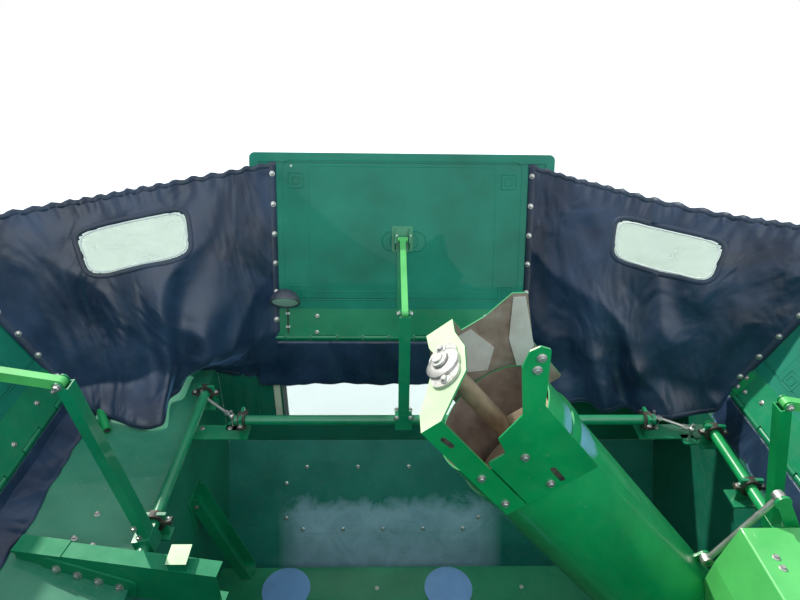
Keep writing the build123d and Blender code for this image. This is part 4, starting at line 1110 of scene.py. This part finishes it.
def bearings():
    """Split bearing shells at the shafts' brackets, each with two screws."""
    bm = bmesh.new()
    screws = []
    ring = [(BEARING_BORE, -BEARING_HALF), (BEARING_R, -BEARING_HALF), (BEARING_R, BEARING_HALF),
            (BEARING_BORE, BEARING_HALF), (BEARING_BORE, -BEARING_HALF)]
    rise = Vector((0, 0, 0.006))
    for axis, x, y in BEARINGS:
        centre = Vector((x, y, SHAFT_Z))
        along = Vector(axis)
        across = Vector((axis[1], axis[0], 0))
        lathe(bm, facing(centre, along), ring, 28)
        for sign in (-1, 1):
            ear = centre + across * sign * (BEARING_R + 0.006)
            half = across * 0.012 + along * 0.012 + rise
            box_between(bm, ear - half, ear + half)
            screws.append((ear + rise, UP))
    finish_mesh("bearing_shells", bm, RUBBER_AND_HOLE_SHADE, "tank")
    heads("bearing_screws", "tank", HEX_HEAD, 0.0075, screws)


def corner_rods():
    """Ball-ended rods and their plates at the front corners."""
    bm = bmesh.new()
    plates = bmesh.new()
    angles = [math.pi * k / 10 for k in range(1, 10)]
    ball = [(BALL_R * math.sin(t), -BALL_R * math.cos(t)) for t in angles]
    ball = [(0, -BALL_R)] + ball + [(0, BALL_R)]
    for a, b in CORNER_RODS:
        rod_between(bm, a, b, 0.0065)
        for end, inner in ((a, b), (b, a)):
            lathe(bm, facing(end, UP), ball, 20)
            way = (inner - end).normalized()
            lathe(bm, facing(end + way * 0.014, way), [(0, 0), (0.0105, 0), (0.0105, 0.022), (0, 0.022)], 6)
            rod_between(bm, end - Vector((0, 0, 0.05)), end + Vector((0, 0, 0.026)), 0.006)
            foot = Matrix.Translation(end - Vector((0, 0, 0.058)))
            plate(plates, foot, round_box(0.052, 0.052, 0.008), 0.008)
    finish_mesh("corner_rods", bm, ZINC, "tank")
    finish_mesh("corner_rod_plates", plates, PAINT, "tank")


def auger_fittings():
    """Bolts, slots, wear plates and end bearing of the loading auger's mouth."""
    matrix = auger_frame()
    points = [(x, CHEEK_FACE, z) for x, z in CHEEK_BOLTS]
    heads("mouth_bolts", "auger", HEX_HEAD, 0.0095, on_frame(matrix, points, NEAR))
    bm = bmesh.new()
    # Each slot is a thin black plate on the cheek: painted shade of the hole
    for (x, z), turn, length in CHEEK_SLOTS:
        flat = upright(matrix, (x, CHEEK_FACE + 0.0008, z)) @ Matrix.Rotation(turn, 4, "Z")
        plate(bm, flat, round_box(0.013, length, 0.0064), 0.0012)
    finish_mesh("mouth_slots", bm, RUBBER_AND_HOLE_SHADE, "auger")
    bm = bmesh.new()
    top = matrix @ Matrix.Translation((0, 0, FLANGE_UP))
    plate(bm, top, round_box(0.082, 0.15, 0.04, 8), FLANGE_THICK)
    lathe(bm, top, HUB, 36)
    finish_mesh("flange_bearing", bm, ZINC, "auger")
    for name, outline in WEAR_PLATES.items():
        bm = bmesh.new()
        plate(bm, upright(matrix, (0, WEAR_FACE, 0)), outline, 0.003)
        finish_mesh(name, bm, SILVER, "auger")
    ends = [(0, y, FLANGE_UP + FLANGE_THICK) for y in (0.06, -0.06)]
    heads("flange_bolts", "auger", HEX_HEAD, 0.011, on_frame(matrix, ends, UP))
    seated_rows("drive_box_bolts", "auger", BOLT, BOX_BOLTS)


def wall_fittings():
    """Seal strip and ribs beside the window, swages of the outer walls, and the tube on the shelf."""
    bm = bmesh.new()
    box_between(bm, (-0.592, 0.9955, 1.13), (-0.562, 1.001, 1.43))
    finish_mesh("window_side_strip", bm, CREAM, "tank")
    bm = bmesh.new()
    for x in WALL_RIBS:
        box_between(bm, (x - 0.006, 0.9935, 1.06), (x + 0.006, 1.001, 1.42))
    # The ribs take the painted shade green
    finish_mesh("front_wall_ribs", bm, PAINT_PAINTED_SHADE, "tank")
    bm = bmesh.new()
    for face, turn, places, height, middle in OUTER_SWAGES:
        for along in places:
            around = turned(turn, "Z") @ Matrix.Translation((along, face, middle)) @ turned(-90, "X")
            plate(bm, around, round_box(0.045, height, 0.022), 0.004)
    finish_mesh("outer_swages", bm, PAINT, "tank", 30)
    bm = bmesh.new()
    rod_between(bm, (-1.212, 0.64, 1.552), (-1.118, 0.486, 1.52), 0.016)
    box_between(bm, (-1.165, 0.52, 1.5), (-1.14, 0.56, 1.53))
    # The shelf tube takes the painted sunlit green
    finish_mesh("shelf_tube", bm, PAINT_PAINTED_LIGHT, "tank")
    bm = bmesh.new()
    # Black disc at the tube's open end: painted shade of its bore
    rod_between(bm, (-1.1185, 0.4868, 1.5202), (-1.1175, 0.4852, 1.5198), 0.012)
    finish_mesh("shelf_tube_end", bm, RUBBER_AND_HOLE_SHADE, "tank")


def fittings():
    seated_rows("tank_bolts", "tank", BOLT, TANK_BOLTS)
    seated_rows("brace_bolts", "tank", 0.0125, BRACE_BOLTS)
    for what, size, rows in (("bolts", BOLT, CRANK_BOLTS), ("pivot_bolts", 0.01, PIVOT_BOLTS)):
        for body in dict.fromkeys(row[0] for row in rows):
            seated_rows(f"{body}_{what}", body, size, [row for row in rows if row[0] == body])
    cover_beads()
    cover_fittings()
    work_lamp()
    bearings()
    corner_rods()
    auger_fittings()
    wall_fittings()


# Stage

# name, direction the light comes from, energy, spread in degrees, colour
LIGHTS = [
    ("key", (-0.5, 0.56, 0.68), 4.0, 1.5, (1.0, 0.97, 0.88)),
    ("fill", (0.3, -0.9, 0.8), 1.3, 60, (0.88, 0.96, 1.0)),
]


def stage():
    """Floor, a bluish sky that the camera sees as white, and two lamps."""
    bpy.ops.mesh.primitive_plane_add(size=60, location=(0, 0, -0.0005))
    floor = bpy.context.object
    floor.name = "stage_floor"
    material, tree, shader = new_material("stage")
    fill(tree, shader, {"Base Color": (0.86, 0.86, 0.85), "Roughness": 0.9})
    floor.data.materials.append(material)
    world = bpy.data.worlds.new("world")
    world.use_nodes = True
    tree = world.node_tree
    sky = tree.nodes["Background"]
    fill(tree, sky, {"Color": (0.66, 0.85, 1.0), "Strength": 0.85})
    white = new_node(tree, "Background", {"Color": (1, 1, 1)})
    path = new_node(tree, "LightPath", {})
    seen = path.outputs["Is Camera Ray"]
    for kind in ("Is Glossy Ray", "Is Transmission Ray"):
        seen = calculate(tree, "MAXIMUM", seen, path.outputs[kind])
    blend = new_node(tree, "MixShader", {0: seen, 1: sky.outputs[0], 2: white.outputs[0]})
    fill(tree, tree.nodes["World Output"], {"Surface": blend.outputs[0]})
    bpy.context.scene.world = world
    for name, direction, energy, angle, colour in LIGHTS:
        lamp = bpy.data.lights.new(name, "SUN")
        lamp.energy = energy
        lamp.angle = math.radians(angle)
        lamp.color = colour
        new_object(name, lamp).rotation_euler = Vector(direction).to_track_quat("Z", "Y").to_euler()


def place_camera():
    data = bpy.data.cameras.new("camera")
    data.lens = CAMERA_LENS
    data.clip_start = 0.05
    camera = new_object("camera", data)
    turn = turned(-YAW, "Z") @ turned(90 + PITCH, "X") @ turned(ROLL, "Z")
    camera.matrix_world = Matrix.Translation(CAMERA_AT) @ turn
    bpy.context.scene.camera = camera
    bpy.context.scene.view_settings.view_transform = "Standard"


def main():
    paint_nodes()
    fabric_corners()
    flaps()
    fittings()
    stage()
    place_camera()


main()
